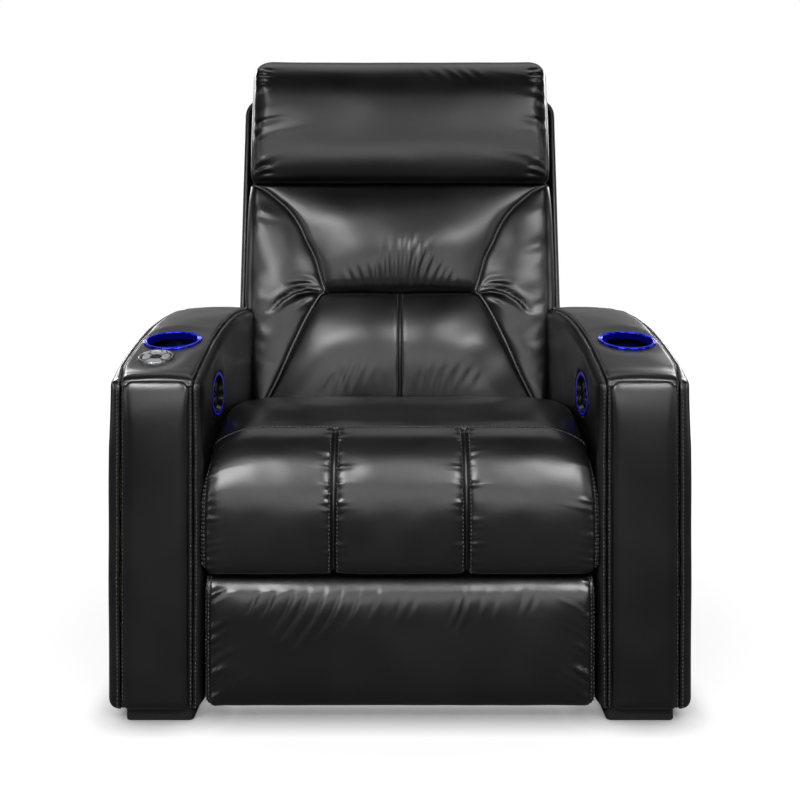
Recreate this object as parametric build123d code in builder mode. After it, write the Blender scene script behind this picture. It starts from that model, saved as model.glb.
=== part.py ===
from build123d import *
import os
from math import asin, cos, degrees, radians, sin, sqrt

# Home-cinema recliner seat. Millimetres, +X to the right seen from the front, +Y to the back,
# +Z up, origin on the floor under the middle of the seat. Depths count from the arm fronts.

# Clearances
GAP = 0.3                   # soft parts to their neighbours
RUN = 0.05                  # a pin in its hole, radial
LOOSE = 0.8                 # the pin at the one open pivot of the linkage, radial

# Arms
ARM_GAP = 624.0             # between the inner faces of the two arms
ARM_INNER_PAD = 18.0
ARM_OUTER_PAD = 12.0
ARM_FRAME_WIDTH = 118.0
ARM_LENGTH = 660.0
ARM_PEAK_DEPTH = 450.0      # where the arched top is highest
ARM_PEAK_HEIGHT = 611.0
ARM_NOSE_HEIGHT = 541.0     # top surface just behind the front edge
ARM_NOSE_DEPTH = 18.0
ARM_REAR_HEIGHT = 603.0
ARM_TOP_PAD = 30.0
ARM_FRONT_PAD = 18.0
ARM_REAR_PAD = 10.0
ARM_PLY = 12.0
PLINTH_HEIGHT = 21.0
PLINTH_WIDTH = 107.0
PLINTH_SETBACK = 5.0        # plinth ends inside the arm's front and rear faces
PANEL_WIDTH = 100.0         # raised panel on the arm's front
PANEL_CROWN = 6.0
PANEL_SUNK = 4.0            # board round the panel behind the arm's front plane
PANEL_INSET = 4.0           # panel's inner edge from the frame's
PANEL_FOOT = 3.0            # panel's lower edge above the board's
PANEL_CORNER = 13.0
PANEL_FOOT_CORNER = 5.0

# Controls and cup holders
CUP_OFFSET = 6.0            # outward of the middle of the arm's box
CUP_DEPTH_POS = 172.0
CUP_RADIUS = 43.0
CUP_WALL = 2.0
CUP_DEEP = 72.0
CUP_FLANGE = 50.5
CUP_FLANGE_THICK = 3.0
CUP_LIGHT_WIDTH = 3.0
KEYPAD_OFFSET = 16.0
KEYPAD_DEPTH_POS = 90.0
KEYPAD_RADIUS = 29.5
KEYPAD_RIM = 4.0
KEYPAD_HEIGHT = 4.0
KEYPAD_BARREL = 22.0
KEY_RADIUS = 8.0            # the round key in the middle
KEY_GAP = 1.0
KEY_TRAVEL = 1.0
KEY_PROUD = 1.5
SWITCH_DEPTH_POS = 154.0
SWITCH_Z = 494.0
SWITCH_TURN = radians(6)    # its face looks a little to the front
SWITCH_RADIUS = 39.0
SWITCH_DISH = 31.0
SWITCH_RECESS = 7.0
SWITCH_BARREL = 26.0
SWITCH_LIGHT_OUTER = 36.0
SWITCH_LIGHT_WIDTH = 2.6
SWITCH_KEY_RADIUS = 9.0
SWITCH_KEY_OFFSET = 12.0
SWITCH_SPACE = 1.0          # left by the seat cushion round a side switch

# Seat and legrest
SEAT_FRAME_Z = 282.0
SEAT_RAIL_HEIGHT = 40.0
SEAT_RAIL_WIDTH = 26.0
SEAT_FRAME_HALF = 302.0
SEAT_REAR_DEPTH = 548.0
SEAT_CROWN_HEIGHT = 470.0
SEAT_SEAM_HEIGHT = 449.0    # seam along the seat's front top edge
SEAT_REAR_HEIGHT = 428.0
SEAT_FRONT_THICK = 34.0
SEAT_FRONT_BOTTOM = 234.5
SEAT_CHANNEL_X = 104.7
SEAT_EDGE_RADIUS = 34.0
FRONT_CROWN = 14.0
STRAP_WIDTH = 50.0
STRAP_THICK = 2.0
SLAT_DEPTH = 80.0
SLAT_THICK = 18.0
LEGREST_HALF = 305.5
LEGREST_BOTTOM = 26.0
LEGREST_TOP = 229.0
LEGREST_CUSHION = 60.0      # depth of its flat rear face
LEGREST_BOARD = 12.0
LEGREST_BOARD_HALF = 276.0

# Steel base and the legrest linkage: pivots as (depth, height) with the legrest stowed
PLATE = 4.0                 # side plates and links
LAYER_GAP = 2.0             # between one layer of links and the next
RAIL_HEIGHT = 40.0
RAIL_FRONT = 84.0
TUBE = 30.0
TUBE_WALL = 2.0
FRONT_TUBE_DEPTH = 400.0
DRIVE_PIVOT = (120.0, 258.0)
LINK_KNEE = (240.5, 93.5)
LINK_HEEL = (268.5, 85.0)
LEGREST_PIVOT = (84.0, 207.0)
LEGREST_TOGGLE = (119.5, 194.0)
IDLER_OFFSET = (59.0, -14.0)    # from the drive pivot to the idler, and from the knee to its tail
TORQUE_TUBE_RADIUS = 12.5
PIN_RADIUS = 4.0
PIN_HEAD = 6.5
PIN_HEAD_THICK = 1.5
LINK_END = 9.0
KNEE_END = 11.0
HUB_END = 16.0
MOTOR_RADIUS = 26.0
MOTOR_LENGTH = 105.0
GEARBOX_WIDTH = 70.0
GEARBOX_DEPTH = 72.0
BOLT_RADIUS = 4.0
BOLT_HEAD = 6.5
POWER_BOX_X = 120.0
POWER_BOX_WIDTH = 130.0
POWER_BOX_DEPTH = 70.0
POWER_BOX_HEIGHT = 36.0
FOOT_STRIP = 32.0           # flanges of the legrest brackets on the board
FOOT_THICK = 3.0
FOOT_INWARD = 12.0

# Backrest
LEAN = 14.0                 # degrees from upright at rest
SEAT_TO_HINGE = 52.0        # from the seat's rear edge to the recline shaft
HINGE_Z = 290.0
HINGE_SHAFT = 8.0
BACK_TUBE = 11.0
BACK_TUBE_WALL = 2.0
BACK_TUBE_X = 258.0
BACK_TUBE_SET = 56.0        # behind the hinge, square to the back
BACK_FRAME_TOP = 790.0
LOWER_HALF = 290.0
UPPER_HALF = 326.0
WAIST_HALF = 162.0
WAIST_UP = 342.0
CUSHION_BOTTOM_UP = 62.0
CUSHION_TOP_UP = 575.0
SHELL_HALF_BOTTOM = 352.0
SHELL_HALF_TOP = 358.0
SHELL_BOTTOM_UP = 90.0
SHELL_TOP_UP = 815.0
SHELL_REAR = 122.0
SHELL_WALL = 14.0
SHELL_CROWN = 10.0
WING_FRONT = -8.0
HEAD_SLOT_REAR = 26.0       # opening in the shell's top that the head cushion stands in
HEAD_SLOT_SIDE = 4.0
SKIRT_HALF = 296.0
SKIRT_BOTTOM_UP = -20.0
ARM_TO_WING = 8.0

# Head cushion
HEAD_HALF = 328.0
HEAD_HINGE = (-85.0, 625.0)     # across and up in the backrest's own directions
HEAD_ROLL = 45.0                # radius of its lower front edge, about the hinge
HEAD_TOP_UP = 882.0
HEAD_REAR = 8.0
HEAD_BOARD = 12.0
HEAD_ROD = 5.0
HEAD_EAR_X = 150.5
HEAD_BRACKET_X = 144.0

# Worked out from the above
HINGE_DEPTH = SEAT_REAR_DEPTH + SEAT_TO_HINGE
ARM_IN = ARM_GAP / 2
FRAME_IN = ARM_IN + ARM_INNER_PAD
FRAME_OUT = FRAME_IN + ARM_FRAME_WIDTH
ARM_OUT = FRAME_OUT + ARM_OUTER_PAD
FRAME_MIDDLE = (FRAME_IN + FRAME_OUT) / 2
CUP_X = FRAME_MIDDLE + CUP_OFFSET
KEYPAD_X = FRAME_MIDDLE + KEYPAD_OFFSET
RAIL_OUT = ARM_IN - GAP
PLATE_OUT = 284.0
PLATE_IN = PLATE_OUT - PLATE
LAYER = PLATE + LAYER_GAP
TOGGLE_LAYER = PLATE_IN - LAYER     # inner faces of the three layers of links
DRIVE_LAYER = TOGGLE_LAYER - LAYER
CARRY_LAYER = DRIVE_LAYER - LAYER
SEAT_HALF = ARM_IN - GAP
BACK_STRAP_REAR = BACK_TUBE_SET - BACK_TUBE     # the straps lie on the front of the back's tubes
BACK_CUSHION_REAR = BACK_STRAP_REAR - STRAP_THICK - GAP
FRAME_TOP = SEAT_FRAME_Z + SEAT_RAIL_HEIGHT
BACK_LEAN_COS, BACK_LEAN_SIN = cos(radians(LEAN)), sin(radians(LEAN))
REAR_DEPTH = HINGE_DEPTH + (SHELL_REAR + 2) * BACK_LEAN_COS + (SHELL_TOP_UP - 25) * BACK_LEAN_SIN
FRONT_Y = -(REAR_DEPTH - FRONT_CROWN) / 2

# Sketch planes. SIDE draws depth and height, FRONT x and height, TOP x and depth.
SIDE = Plane(origin=(0, FRONT_Y, 0), x_dir=(0, 1, 0), z_dir=(1, 0, 0))
FRONT = Plane(origin=(0, FRONT_Y, 0), x_dir=(1, 0, 0), z_dir=(0, -1, 0))
TOP = Plane(origin=(0, FRONT_Y, 0), x_dir=(1, 0, 0), z_dir=(0, 0, 1))
HINGE_POINT = (0, FRONT_Y + HINGE_DEPTH, HINGE_Z)
BACK_FRONT = Plane(HINGE_POINT, x_dir=(1, 0, 0), z_dir=(0, -BACK_LEAN_COS, BACK_LEAN_SIN))
BACK_SIDE = Plane(HINGE_POINT, x_dir=(0, BACK_LEAN_COS, -BACK_LEAN_SIN), z_dir=(1, 0, 0))
BACK_TOP = Plane(HINGE_POINT, x_dir=(1, 0, 0), z_dir=(0, BACK_LEAN_SIN, BACK_LEAN_COS))
TALL = 1200.0
CUT = 5.0                   # how far a cutting outline stands clear of what it trims
FROM_BASE = (Align.CENTER, Align.CENTER, Align.MIN)

os.makedirs("parts", exist_ok=True)


def save(part, label):
    part.label = label
    export_step(part, f"parts/{label}.step")


def save_pair(right_part, label):
    left_part = mirror(right_part, about=Plane.YZ)
    save(right_part, f"{label}_right")
    save(left_part, f"{label}_left")


def plus(point, offset):
    return (point[0] + offset[0], point[1] + offset[1])


# Arms ------------------------------------------------------------------------------------

FRONT_RISE = ARM_PEAK_HEIGHT - ARM_NOSE_HEIGHT
FRONT_RUN = ARM_PEAK_DEPTH - ARM_NOSE_DEPTH
ARCH_FRONT_R = (FRONT_RUN**2 + FRONT_RISE**2) / (2 * FRONT_RISE)
REAR_FALL = ARM_PEAK_HEIGHT - ARM_REAR_HEIGHT
REAR_RUN = ARM_LENGTH - ARM_PEAK_DEPTH
ARCH_REAR_R = (REAR_RUN**2 + REAR_FALL**2) / (2 * REAR_FALL)


def arch_height(depth):
    radius = ARCH_FRONT_R if depth < ARM_PEAK_DEPTH else ARCH_REAR_R
    return ARM_PEAK_HEIGHT - radius + sqrt(radius**2 - (depth - ARM_PEAK_DEPTH) ** 2)


def arch_tilt(depth):
    return degrees(asin((ARM_PEAK_DEPTH - depth) / ARCH_FRONT_R))


def arch_line(start, end, drop=0.0):
    """The arched top between two depths, lowered by drop: two arcs that meet at the peak."""
    def at(depth):
        return (depth, arch_height(depth) - drop)

    ThreePointArc(at(start), at((start + ARM_PEAK_DEPTH) / 2), at(ARM_PEAK_DEPTH))
    ThreePointArc(at(ARM_PEAK_DEPTH), at((ARM_PEAK_DEPTH + end) / 2), at(end))


def arch_plane(x, depth):
    """Plane square to the arched top, its Z out of the surface and its X along the seat's X."""
    tilt = radians(arch_tilt(depth))
    origin = (x, FRONT_Y + depth, arch_height(depth))
    return Plane(origin, x_dir=(1, 0, 0), z_dir=(0, -sin(tilt), cos(tilt)))


def arm_outline(front=0.0, drop=0.0, rear=0.0):
    """Side view of an arm, inset from its front, its top and its rear."""
    nose = max(front, ARM_NOSE_DEPTH)
    end = ARM_LENGTH - rear
    with BuildSketch() as outline:
        with BuildLine():
            arch_line(nose, end, drop)
            Polyline((end, arch_height(end) - drop), (end, PLINTH_HEIGHT), (front, PLINTH_HEIGHT))
            if front < nose:
                knee = arch_height(nose) - drop - ARM_NOSE_DEPTH
                Line((front, PLINTH_HEIGHT), (front, knee))
                bulge = (front + 0.25 * (nose - front), knee + 0.72 * ARM_NOSE_DEPTH)
                ThreePointArc((front, knee), bulge, (nose, arch_height(nose) - drop))
            else:
                Line((front, PLINTH_HEIGHT), (front, arch_height(front) - drop))
        make_face()
    return outline.sketch


CUP_PLANE = arch_plane(CUP_X, CUP_DEPTH_POS)
KEYPAD_PLANE = arch_plane(-KEYPAD_X, KEYPAD_DEPTH_POS)
SWITCH_PLANE = Plane((ARM_IN, FRONT_Y + SWITCH_DEPTH_POS, SWITCH_Z),
                     x_dir=(-sin(SWITCH_TURN), cos(SWITCH_TURN), 0), z_dir=(-cos(SWITCH_TURN), -sin(SWITCH_TURN), 0))
CUP_OUTER = CUP_RADIUS + CUP_WALL
KEYPAD_BODY = KEYPAD_RADIUS - KEYPAD_RIM
PANEL_TOP = ARM_NOSE_HEIGHT - 14.0


def round_hole(plane, radius, deep):
    """Round hole square to a plane, from just above it to this deep."""
    with Locations(plane.offset(-deep)):
        Cylinder(radius, deep + ARM_TOP_PAD, align=FROM_BASE, mode=Mode.SUBTRACT)


def cup_hole(radius):
    round_hole(CUP_PLANE, radius, CUP_DEEP + ARM_TOP_PAD)


def keypad_hole(radius):
    """Made in the right arm, which is then mirrored to the left."""
    round_hole(arch_plane(KEYPAD_X, KEYPAD_DEPTH_POS), radius, KEYPAD_BARREL + ARM_TOP_PAD)


def switch_hole(radius, deep):
    round_hole(SWITCH_PLANE, radius, deep)


def arm_frame(with_keypad):
    """Plywood box inside the arm, with the holes that the cup and the controls hang in."""
    with BuildPart() as frame:
        with BuildSketch(SIDE.offset(FRAME_IN)):
            add(arm_outline(ARM_FRONT_PAD, ARM_TOP_PAD, ARM_REAR_PAD))
        extrude(amount=ARM_FRAME_WIDTH)
        with BuildSketch(SIDE.offset(FRAME_IN + ARM_PLY)):
            add(arm_outline(ARM_FRONT_PAD, ARM_TOP_PAD, ARM_REAR_PAD))
            offset(amount=-ARM_PLY, mode=Mode.REPLACE)
        extrude(amount=ARM_FRAME_WIDTH - 2 * ARM_PLY, mode=Mode.SUBTRACT)
        cup_hole(CUP_OUTER + GAP)
        switch_hole(SWITCH_DISH + GAP, SWITCH_BARREL + ARM_PLY)
        if with_keypad:
            keypad_hole(KEYPAD_BODY + GAP)
    return frame.part


def arm_side_pad(inner_x, outer_x, edge_x, crown_x):
    """Leather-covered side pad: the arm's outline, crowned across its height."""
    with BuildPart() as pad:
        with BuildSketch(SIDE.offset(min(inner_x, outer_x))):
            add(arm_outline())
        extrude(amount=abs(outer_x - inner_x))
        with BuildSketch(FRONT):
            with BuildLine():
                low, high = (edge_x, PLINTH_HEIGHT), (edge_x, ARM_PEAK_HEIGHT)
                ThreePointArc(low, (crown_x, ARM_PEAK_HEIGHT / 2), high)
                Polyline(high, (inner_x, ARM_PEAK_HEIGHT), (inner_x, PLINTH_HEIGHT), low)
            make_face()
        extrude(amount=-ARM_LENGTH, mode=Mode.INTERSECT)
    return pad.part


def arm_top_pad(with_keypad):
    """Pad over the arched top, turned down over the rear end."""
    drop, nose = ARM_TOP_PAD, ARM_FRONT_PAD
    rear = ARM_LENGTH - ARM_REAR_PAD
    with BuildPart() as pad:
        with BuildSketch(SIDE.offset(FRAME_IN)):
            with BuildLine():
                arch_line(ARM_NOSE_DEPTH, ARM_LENGTH)
                Polyline((ARM_LENGTH, arch_height(ARM_LENGTH)), (ARM_LENGTH, PLINTH_HEIGHT),
                         (rear, PLINTH_HEIGHT), (rear, arch_height(rear) - drop))
                arch_line(nose, rear, drop)
                lip = (0, PANEL_TOP)
                Polyline((nose, arch_height(nose) - drop), (nose, PANEL_TOP), lip)
                bulge = (0.25 * nose, arch_height(nose) - 0.3 * (arch_height(nose) - PANEL_TOP))
                ThreePointArc(lip, bulge, (ARM_NOSE_DEPTH, arch_height(nose)))
            make_face()
        extrude(amount=ARM_FRAME_WIDTH)
        cup_hole(CUP_OUTER + GAP)
        if with_keypad:
            keypad_hole(KEYPAD_BODY + GAP)
    return pad.part


def arm_front_pad():
    """Front board of the arm with its raised, slightly crowned panel."""
    middle = FRAME_IN + PANEL_INSET + PANEL_WIDTH / 2
    foot, top = PLINTH_HEIGHT + PANEL_FOOT, PANEL_TOP - 1.0
    with BuildPart() as pad:
        with BuildSketch(FRONT.offset(-ARM_FRONT_PAD)):
            with Locations((FRAME_IN + ARM_FRAME_WIDTH / 2, (PLINTH_HEIGHT + PANEL_TOP) / 2)):
                Rectangle(ARM_FRAME_WIDTH, PANEL_TOP - PLINTH_HEIGHT)
        extrude(amount=ARM_FRONT_PAD - PANEL_SUNK)
        with BuildSketch(FRONT.offset(-ARM_FRONT_PAD / 2)) as face:
            with Locations((middle, (foot + top) / 2)):
                Rectangle(PANEL_WIDTH, top - foot)
            fillet(face.vertices().group_by(Axis.Y)[-1], PANEL_CORNER)
            fillet(face.vertices().group_by(Axis.Y)[0], PANEL_FOOT_CORNER)
        extrude(amount=ARM_FRONT_PAD / 2 + 2 * PANEL_CROWN)
        with BuildSketch(TOP):
            with BuildLine():
                ThreePointArc((FRAME_IN, 0), (middle, -PANEL_CROWN), (FRAME_OUT, PANEL_SUNK))
                Polyline((FRAME_OUT, PANEL_SUNK), (FRAME_OUT, ARM_FRONT_PAD),
                         (FRAME_IN, ARM_FRONT_PAD), (FRAME_IN, 0))
            make_face()
        extrude(amount=TALL, mode=Mode.INTERSECT)
    return pad.part


def plinth():
    """Black runner that the arm stands on."""
    with BuildPart() as runner:
        with BuildSketch(TOP) as foot:
            length = ARM_LENGTH - 2 * PLINTH_SETBACK
            with Locations((FRAME_IN - 4.0 + PLINTH_WIDTH / 2, PLINTH_SETBACK + length / 2)):
                Rectangle(PLINTH_WIDTH, length)
            fillet(foot.vertices(), 8.0)
        extrude(amount=PLINTH_HEIGHT)
        fillet(runner.faces().sort_by(Axis.Z)[0].edges(), 3.0)
    return runner.part


save_pair(arm_side_pad(FRAME_OUT, ARM_OUT, ARM_OUT - 8.0, ARM_OUT), "arm_outer_pad")
save_pair(plinth(), "plinth")
save_pair(arm_front_pad(), "arm_front_pad")
save(arm_frame(False), "arm_frame_right")
save(mirror(arm_frame(True), about=Plane.YZ), "arm_frame_left")
save(arm_top_pad(False), "arm_top_pad_right")
save(mirror(arm_top_pad(True), about=Plane.YZ), "arm_top_pad_left")

with BuildPart() as inner_pad:
    add(arm_side_pad(FRAME_IN, ARM_IN, ARM_IN + 5.0, ARM_IN))
    switch_hole(SWITCH_RADIUS + GAP, 3.0 + 2.0)
    switch_hole(SWITCH_DISH + GAP, SWITCH_BARREL)
save_pair(inner_pad.part, "arm_inner_pad")


# Controls and cup holders ----------------------------------------------------------------

def ring(plane, outer, width, thick):
    """Flat ring standing on a plane."""
    with BuildPart() as band:
        with BuildSketch(plane):
            Circle(outer)
            Circle(outer - width, mode=Mode.SUBTRACT)
        extrude(amount=thick)
    return band.part


def turned(plane, profile):
    """Body of revolution about a plane's normal, from its half section as (radius, height)."""
    section = Plane(plane.origin, x_dir=plane.x_dir, z_dir=plane.x_dir.cross(plane.z_dir))
    with BuildPart() as body:
        with BuildSketch(section):
            with BuildLine():
                Polyline(*profile, close=True)
            make_face()
        revolve(axis=Axis(plane.origin, plane.z_dir))
    return body.part


LIGHT_DEEP = 1.5
CUP_FLOOR = 3.0
CUP_LIGHT_OUTER = CUP_FLANGE - 2.5
cup_holder = turned(CUP_PLANE, [
    (0, -CUP_DEEP), (CUP_OUTER, -CUP_DEEP), (CUP_OUTER, 0), (CUP_FLANGE, 0),
    (CUP_FLANGE, CUP_FLANGE_THICK - 1.2), (CUP_FLANGE - 1.2, CUP_FLANGE_THICK),
    (CUP_LIGHT_OUTER, CUP_FLANGE_THICK), (CUP_LIGHT_OUTER, CUP_FLANGE_THICK - LIGHT_DEEP),
    (CUP_LIGHT_OUTER - CUP_LIGHT_WIDTH, CUP_FLANGE_THICK - LIGHT_DEEP),
    (CUP_LIGHT_OUTER - CUP_LIGHT_WIDTH, CUP_FLANGE_THICK), (CUP_RADIUS, CUP_FLANGE_THICK),
    (CUP_RADIUS, CUP_FLOOR - CUP_DEEP), (0, CUP_FLOOR - CUP_DEEP),
])
save_pair(cup_holder, "cup_holder")
light_seat = CUP_PLANE.offset(CUP_FLANGE_THICK - LIGHT_DEEP)
save_pair(ring(light_seat, CUP_LIGHT_OUTER, CUP_LIGHT_WIDTH, LIGHT_DEEP), "cup_light")

SWITCH_FACE = -GAP              # its face lies this far behind the arm's inner face
SWITCH_FLANGE = 3.0
SWITCH_LIGHT_INNER = SWITCH_LIGHT_OUTER - SWITCH_LIGHT_WIDTH
SWITCH_KEY_LENGTH = 8.0
SWITCH_KEY_TRAVEL = 1.5
with BuildPart() as switch_housing:
    add(turned(SWITCH_PLANE, [
        (0, -SWITCH_BARREL), (SWITCH_DISH, -SWITCH_BARREL), (SWITCH_DISH, -SWITCH_FLANGE),
        (SWITCH_RADIUS, -SWITCH_FLANGE), (SWITCH_RADIUS, SWITCH_FACE - 1.0),
        (SWITCH_RADIUS - 1.0, SWITCH_FACE), (SWITCH_LIGHT_OUTER, SWITCH_FACE),
        (SWITCH_LIGHT_OUTER, SWITCH_FACE - LIGHT_DEEP), (SWITCH_LIGHT_INNER, SWITCH_FACE - LIGHT_DEEP),
        (SWITCH_LIGHT_INNER, SWITCH_FACE), (SWITCH_DISH, SWITCH_FACE),
        (SWITCH_DISH - 4.0, -SWITCH_RECESS), (0, -SWITCH_RECESS),
    ]))
    with Locations(SWITCH_PLANE.offset(-SWITCH_RECESS)):
        with Locations((0, -SWITCH_KEY_OFFSET), (0, SWITCH_KEY_OFFSET)):
            Cylinder(SWITCH_KEY_RADIUS + GAP, 2 * SWITCH_KEY_LENGTH, mode=Mode.SUBTRACT)
save_pair(switch_housing.part, "side_switch_housing")
switch_light_seat = SWITCH_PLANE.offset(SWITCH_FACE - LIGHT_DEEP)
switch_light = ring(switch_light_seat, SWITCH_LIGHT_OUTER, SWITCH_LIGHT_WIDTH, LIGHT_DEEP)
save_pair(switch_light, "side_switch_light")
SWITCH_KEY_PROUD = 2.5
for place, rise in (("upper", -SWITCH_KEY_OFFSET), ("lower", SWITCH_KEY_OFFSET)):
    with BuildPart() as switch_key:
        with Locations(SWITCH_PLANE.offset(SWITCH_KEY_PROUD - SWITCH_RECESS - SWITCH_KEY_LENGTH)):
            with Locations((0, rise)):
                Cylinder(SWITCH_KEY_RADIUS, SWITCH_KEY_LENGTH, align=FROM_BASE)
        crown_edge = switch_key.edges().group_by(Axis.X)[0]
        fillet(crown_edge, 1.2)
    save_pair(switch_key.part, f"side_switch_key_{place}")

KEYPAD_FLOOR = 1.5              # the dark face inside the rim
KEY_POCKET = 6.0
KEY_LENGTH = 5.0 + KEY_PROUD - KEY_TRAVEL
SECTOR_INNER = KEY_RADIUS + 2 * KEY_GAP
SECTOR_OUTER = KEYPAD_BODY - 3.0
SECTOR_SWEEP = 78.0


def sector(facing):
    """Outline of one arrow key, between two radii."""
    with BuildSketch() as face:
        with BuildLine():
            outer = CenterArc((0, 0), SECTOR_OUTER, facing - SECTOR_SWEEP / 2, SECTOR_SWEEP)
            inner = CenterArc((0, 0), SECTOR_INNER, facing - SECTOR_SWEEP / 2, SECTOR_SWEEP)
            Line(outer @ 0, inner @ 0)
            Line(outer @ 1, inner @ 1)
        make_face()
    return face.sketch


KEYS = {"right": 0, "rear": 90, "left": 180, "front": 270}
with BuildPart() as keypad_housing:
    add(turned(KEYPAD_PLANE, [
        (0, -KEYPAD_BARREL), (KEYPAD_BODY, -KEYPAD_BARREL), (KEYPAD_BODY, 0), (KEYPAD_RADIUS, 0),
        (KEYPAD_RADIUS, KEYPAD_HEIGHT - 1.5), (KEYPAD_RADIUS - 1.5, KEYPAD_HEIGHT),
        (KEYPAD_BODY + 0.8, KEYPAD_HEIGHT), (KEYPAD_BODY, KEYPAD_FLOOR), (0, KEYPAD_FLOOR),
    ]))
    with BuildSketch(KEYPAD_PLANE.offset(KEYPAD_FLOOR)):
        Circle(KEY_RADIUS + GAP)
        for facing in KEYS.values():
            add(offset(sector(facing), amount=GAP, kind=Kind.INTERSECTION, mode=Mode.PRIVATE))
    extrude(amount=-KEY_POCKET, mode=Mode.SUBTRACT)
save(keypad_housing.part, "keypad_housing")

key_base = KEYPAD_PLANE.offset(KEYPAD_FLOOR + KEY_PROUD - KEY_LENGTH)
with BuildPart() as centre_key:
    with BuildSketch(key_base):
        Circle(KEY_RADIUS)
    extrude(amount=KEY_LENGTH)
save(centre_key.part, "keypad_key_centre")
for name, facing in KEYS.items():
    with BuildPart() as arrow_key:
        with BuildSketch(key_base):
            add(sector(facing))
        extrude(amount=KEY_LENGTH)
    save(arrow_key.part, f"keypad_key_{name}")


# Steel base ------------------------------------------------------------------------------

RAIL_Z = PLINTH_HEIGHT + 1.0
RAIL_REAR = ARM_LENGTH - 6.0
BOLT_DEPTHS = (340.0, 480.0, 622.0)
BOLT_Z = RAIL_Z + RAIL_HEIGHT / 2
PLATE_FRONT = RAIL_FRONT + 12.0
PLATE_REAR = HINGE_DEPTH + 40.0
NOSE_FRONT = 60.0
FLANGE_WIDTH = 22.0
WINDOW_SIZE = (88.0, 130.0)
WINDOW_DEPTHS = (345.0, 455.0, 560.0)


def along_x(point, x):
    """Plane whose normal is +X, at a depth and height."""
    return Plane((x, FRONT_Y + point[0], point[1]), x_dir=(0, 1, 0), z_dir=(1, 0, 0))


def rod(point, start, end, radius, mode=Mode.ADD):
    """Round bar along X between two x values."""
    with Locations(along_x(point, min(start, end))):
        Cylinder(radius, abs(end - start), align=FROM_BASE, mode=mode)


with BuildPart() as base_rail:
    for inset, mode in ((0.0, Mode.ADD), (TUBE_WALL, Mode.SUBTRACT)):
        with BuildSketch(FRONT.offset(-RAIL_FRONT)):
            with Locations(((PLATE_OUT + RAIL_OUT) / 2, BOLT_Z)):
                Rectangle(RAIL_OUT - PLATE_OUT - 2 * inset, RAIL_HEIGHT - 2 * inset)
        extrude(amount=-(RAIL_REAR - RAIL_FRONT), mode=mode)
    for depth in BOLT_DEPTHS:
        rod((depth, BOLT_Z), PLATE_OUT, RAIL_OUT, BOLT_RADIUS + RUN, Mode.SUBTRACT)
save_pair(base_rail.part, "base_rail")

IDLER_PIVOT = plus(DRIVE_PIVOT, IDLER_OFFSET)
with BuildPart() as side_plate:
    with BuildSketch(SIDE.offset(PLATE_IN)) as outline:
        with BuildLine():
            Polyline((NOSE_FRONT, SEAT_FRAME_Z), (NOSE_FRONT, SEAT_FRAME_Z - 30),
                     (PLATE_FRONT, DRIVE_PIVOT[1] - 50), (PLATE_FRONT, RAIL_Z + 2),
                     (PLATE_REAR, RAIL_Z + 2), (PLATE_REAR, HINGE_Z), (HINGE_DEPTH - 40, SEAT_FRAME_Z),
                     close=True)
        make_face()
        with Locations((HINGE_DEPTH, HINGE_Z)):
            Circle(PLATE_REAR - HINGE_DEPTH)
        with Locations(*[(depth, RAIL_Z + RAIL_HEIGHT + 88) for depth in WINDOW_DEPTHS]):
            RectangleRounded(*WINDOW_SIZE, 14, mode=Mode.SUBTRACT)
        with Locations((200, 120)):
            Circle(36, mode=Mode.SUBTRACT)
    extrude(amount=PLATE)
    with BuildSketch(Plane.XY.offset(SEAT_FRAME_Z - PLATE)):
        with Locations((PLATE_OUT + FLANGE_WIDTH / 2, FRONT_Y + (NOSE_FRONT + HINGE_DEPTH - 50) / 2)):
            Rectangle(FLANGE_WIDTH, HINGE_DEPTH - 50 - NOSE_FRONT)
    extrude(amount=PLATE)
    rod(IDLER_PIVOT, PLATE_IN, DRIVE_LAYER + PLATE + GAP, PIN_HEAD)
    rod(IDLER_PIVOT, PLATE_IN, DRIVE_LAYER - GAP, PIN_RADIUS)
    rod(IDLER_PIVOT, DRIVE_LAYER - GAP, DRIVE_LAYER - PIN_HEAD_THICK, PIN_HEAD)
    rod(DRIVE_PIVOT, PLATE_IN, PLATE_OUT, TORQUE_TUBE_RADIUS + RUN, Mode.SUBTRACT)
    rod((HINGE_DEPTH, HINGE_Z), PLATE_IN, PLATE_OUT, HINGE_SHAFT + RUN, Mode.SUBTRACT)
    for depth in BOLT_DEPTHS:
        rod((depth, BOLT_Z), PLATE_IN, PLATE_OUT, BOLT_RADIUS + RUN, Mode.SUBTRACT)
save_pair(side_plate.part, "side_plate")

with BuildPart() as base_bolts:
    for depth in BOLT_DEPTHS:
        rod((depth, BOLT_Z), PLATE_IN, RAIL_OUT, BOLT_RADIUS)
        with BuildSketch(along_x((depth, BOLT_Z), PLATE_IN - 5.0)):
            RegularPolygon(BOLT_HEAD, 6)
        extrude(amount=5.0)
    mirror(about=Plane.YZ)
save(base_bolts.part, "base_bolts")

GEARBOX_BOTTOM = 222.0
REAR_GEARBOX_TOP = HINGE_Z + 36.0
with BuildPart() as cross_tubes:
    for inset, mode in ((0.0, Mode.ADD), (TUBE_WALL, Mode.SUBTRACT)):
        with BuildSketch(SIDE.offset(-PLATE_IN)):
            with Locations((FRONT_TUBE_DEPTH, BOLT_Z), (HINGE_DEPTH, BOLT_Z)):
                Rectangle(TUBE - 2 * inset, TUBE - 2 * inset)
        extrude(amount=2 * PLATE_IN, mode=mode)
    with BuildSketch(TOP.offset(BOLT_Z + TUBE / 2)):
        with Locations((0, HINGE_DEPTH)):
            Rectangle(TUBE, TUBE)
    extrude(amount=GEARBOX_BOTTOM - BOLT_Z - TUBE / 2)
save(cross_tubes.part, "cross_tubes")

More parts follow.
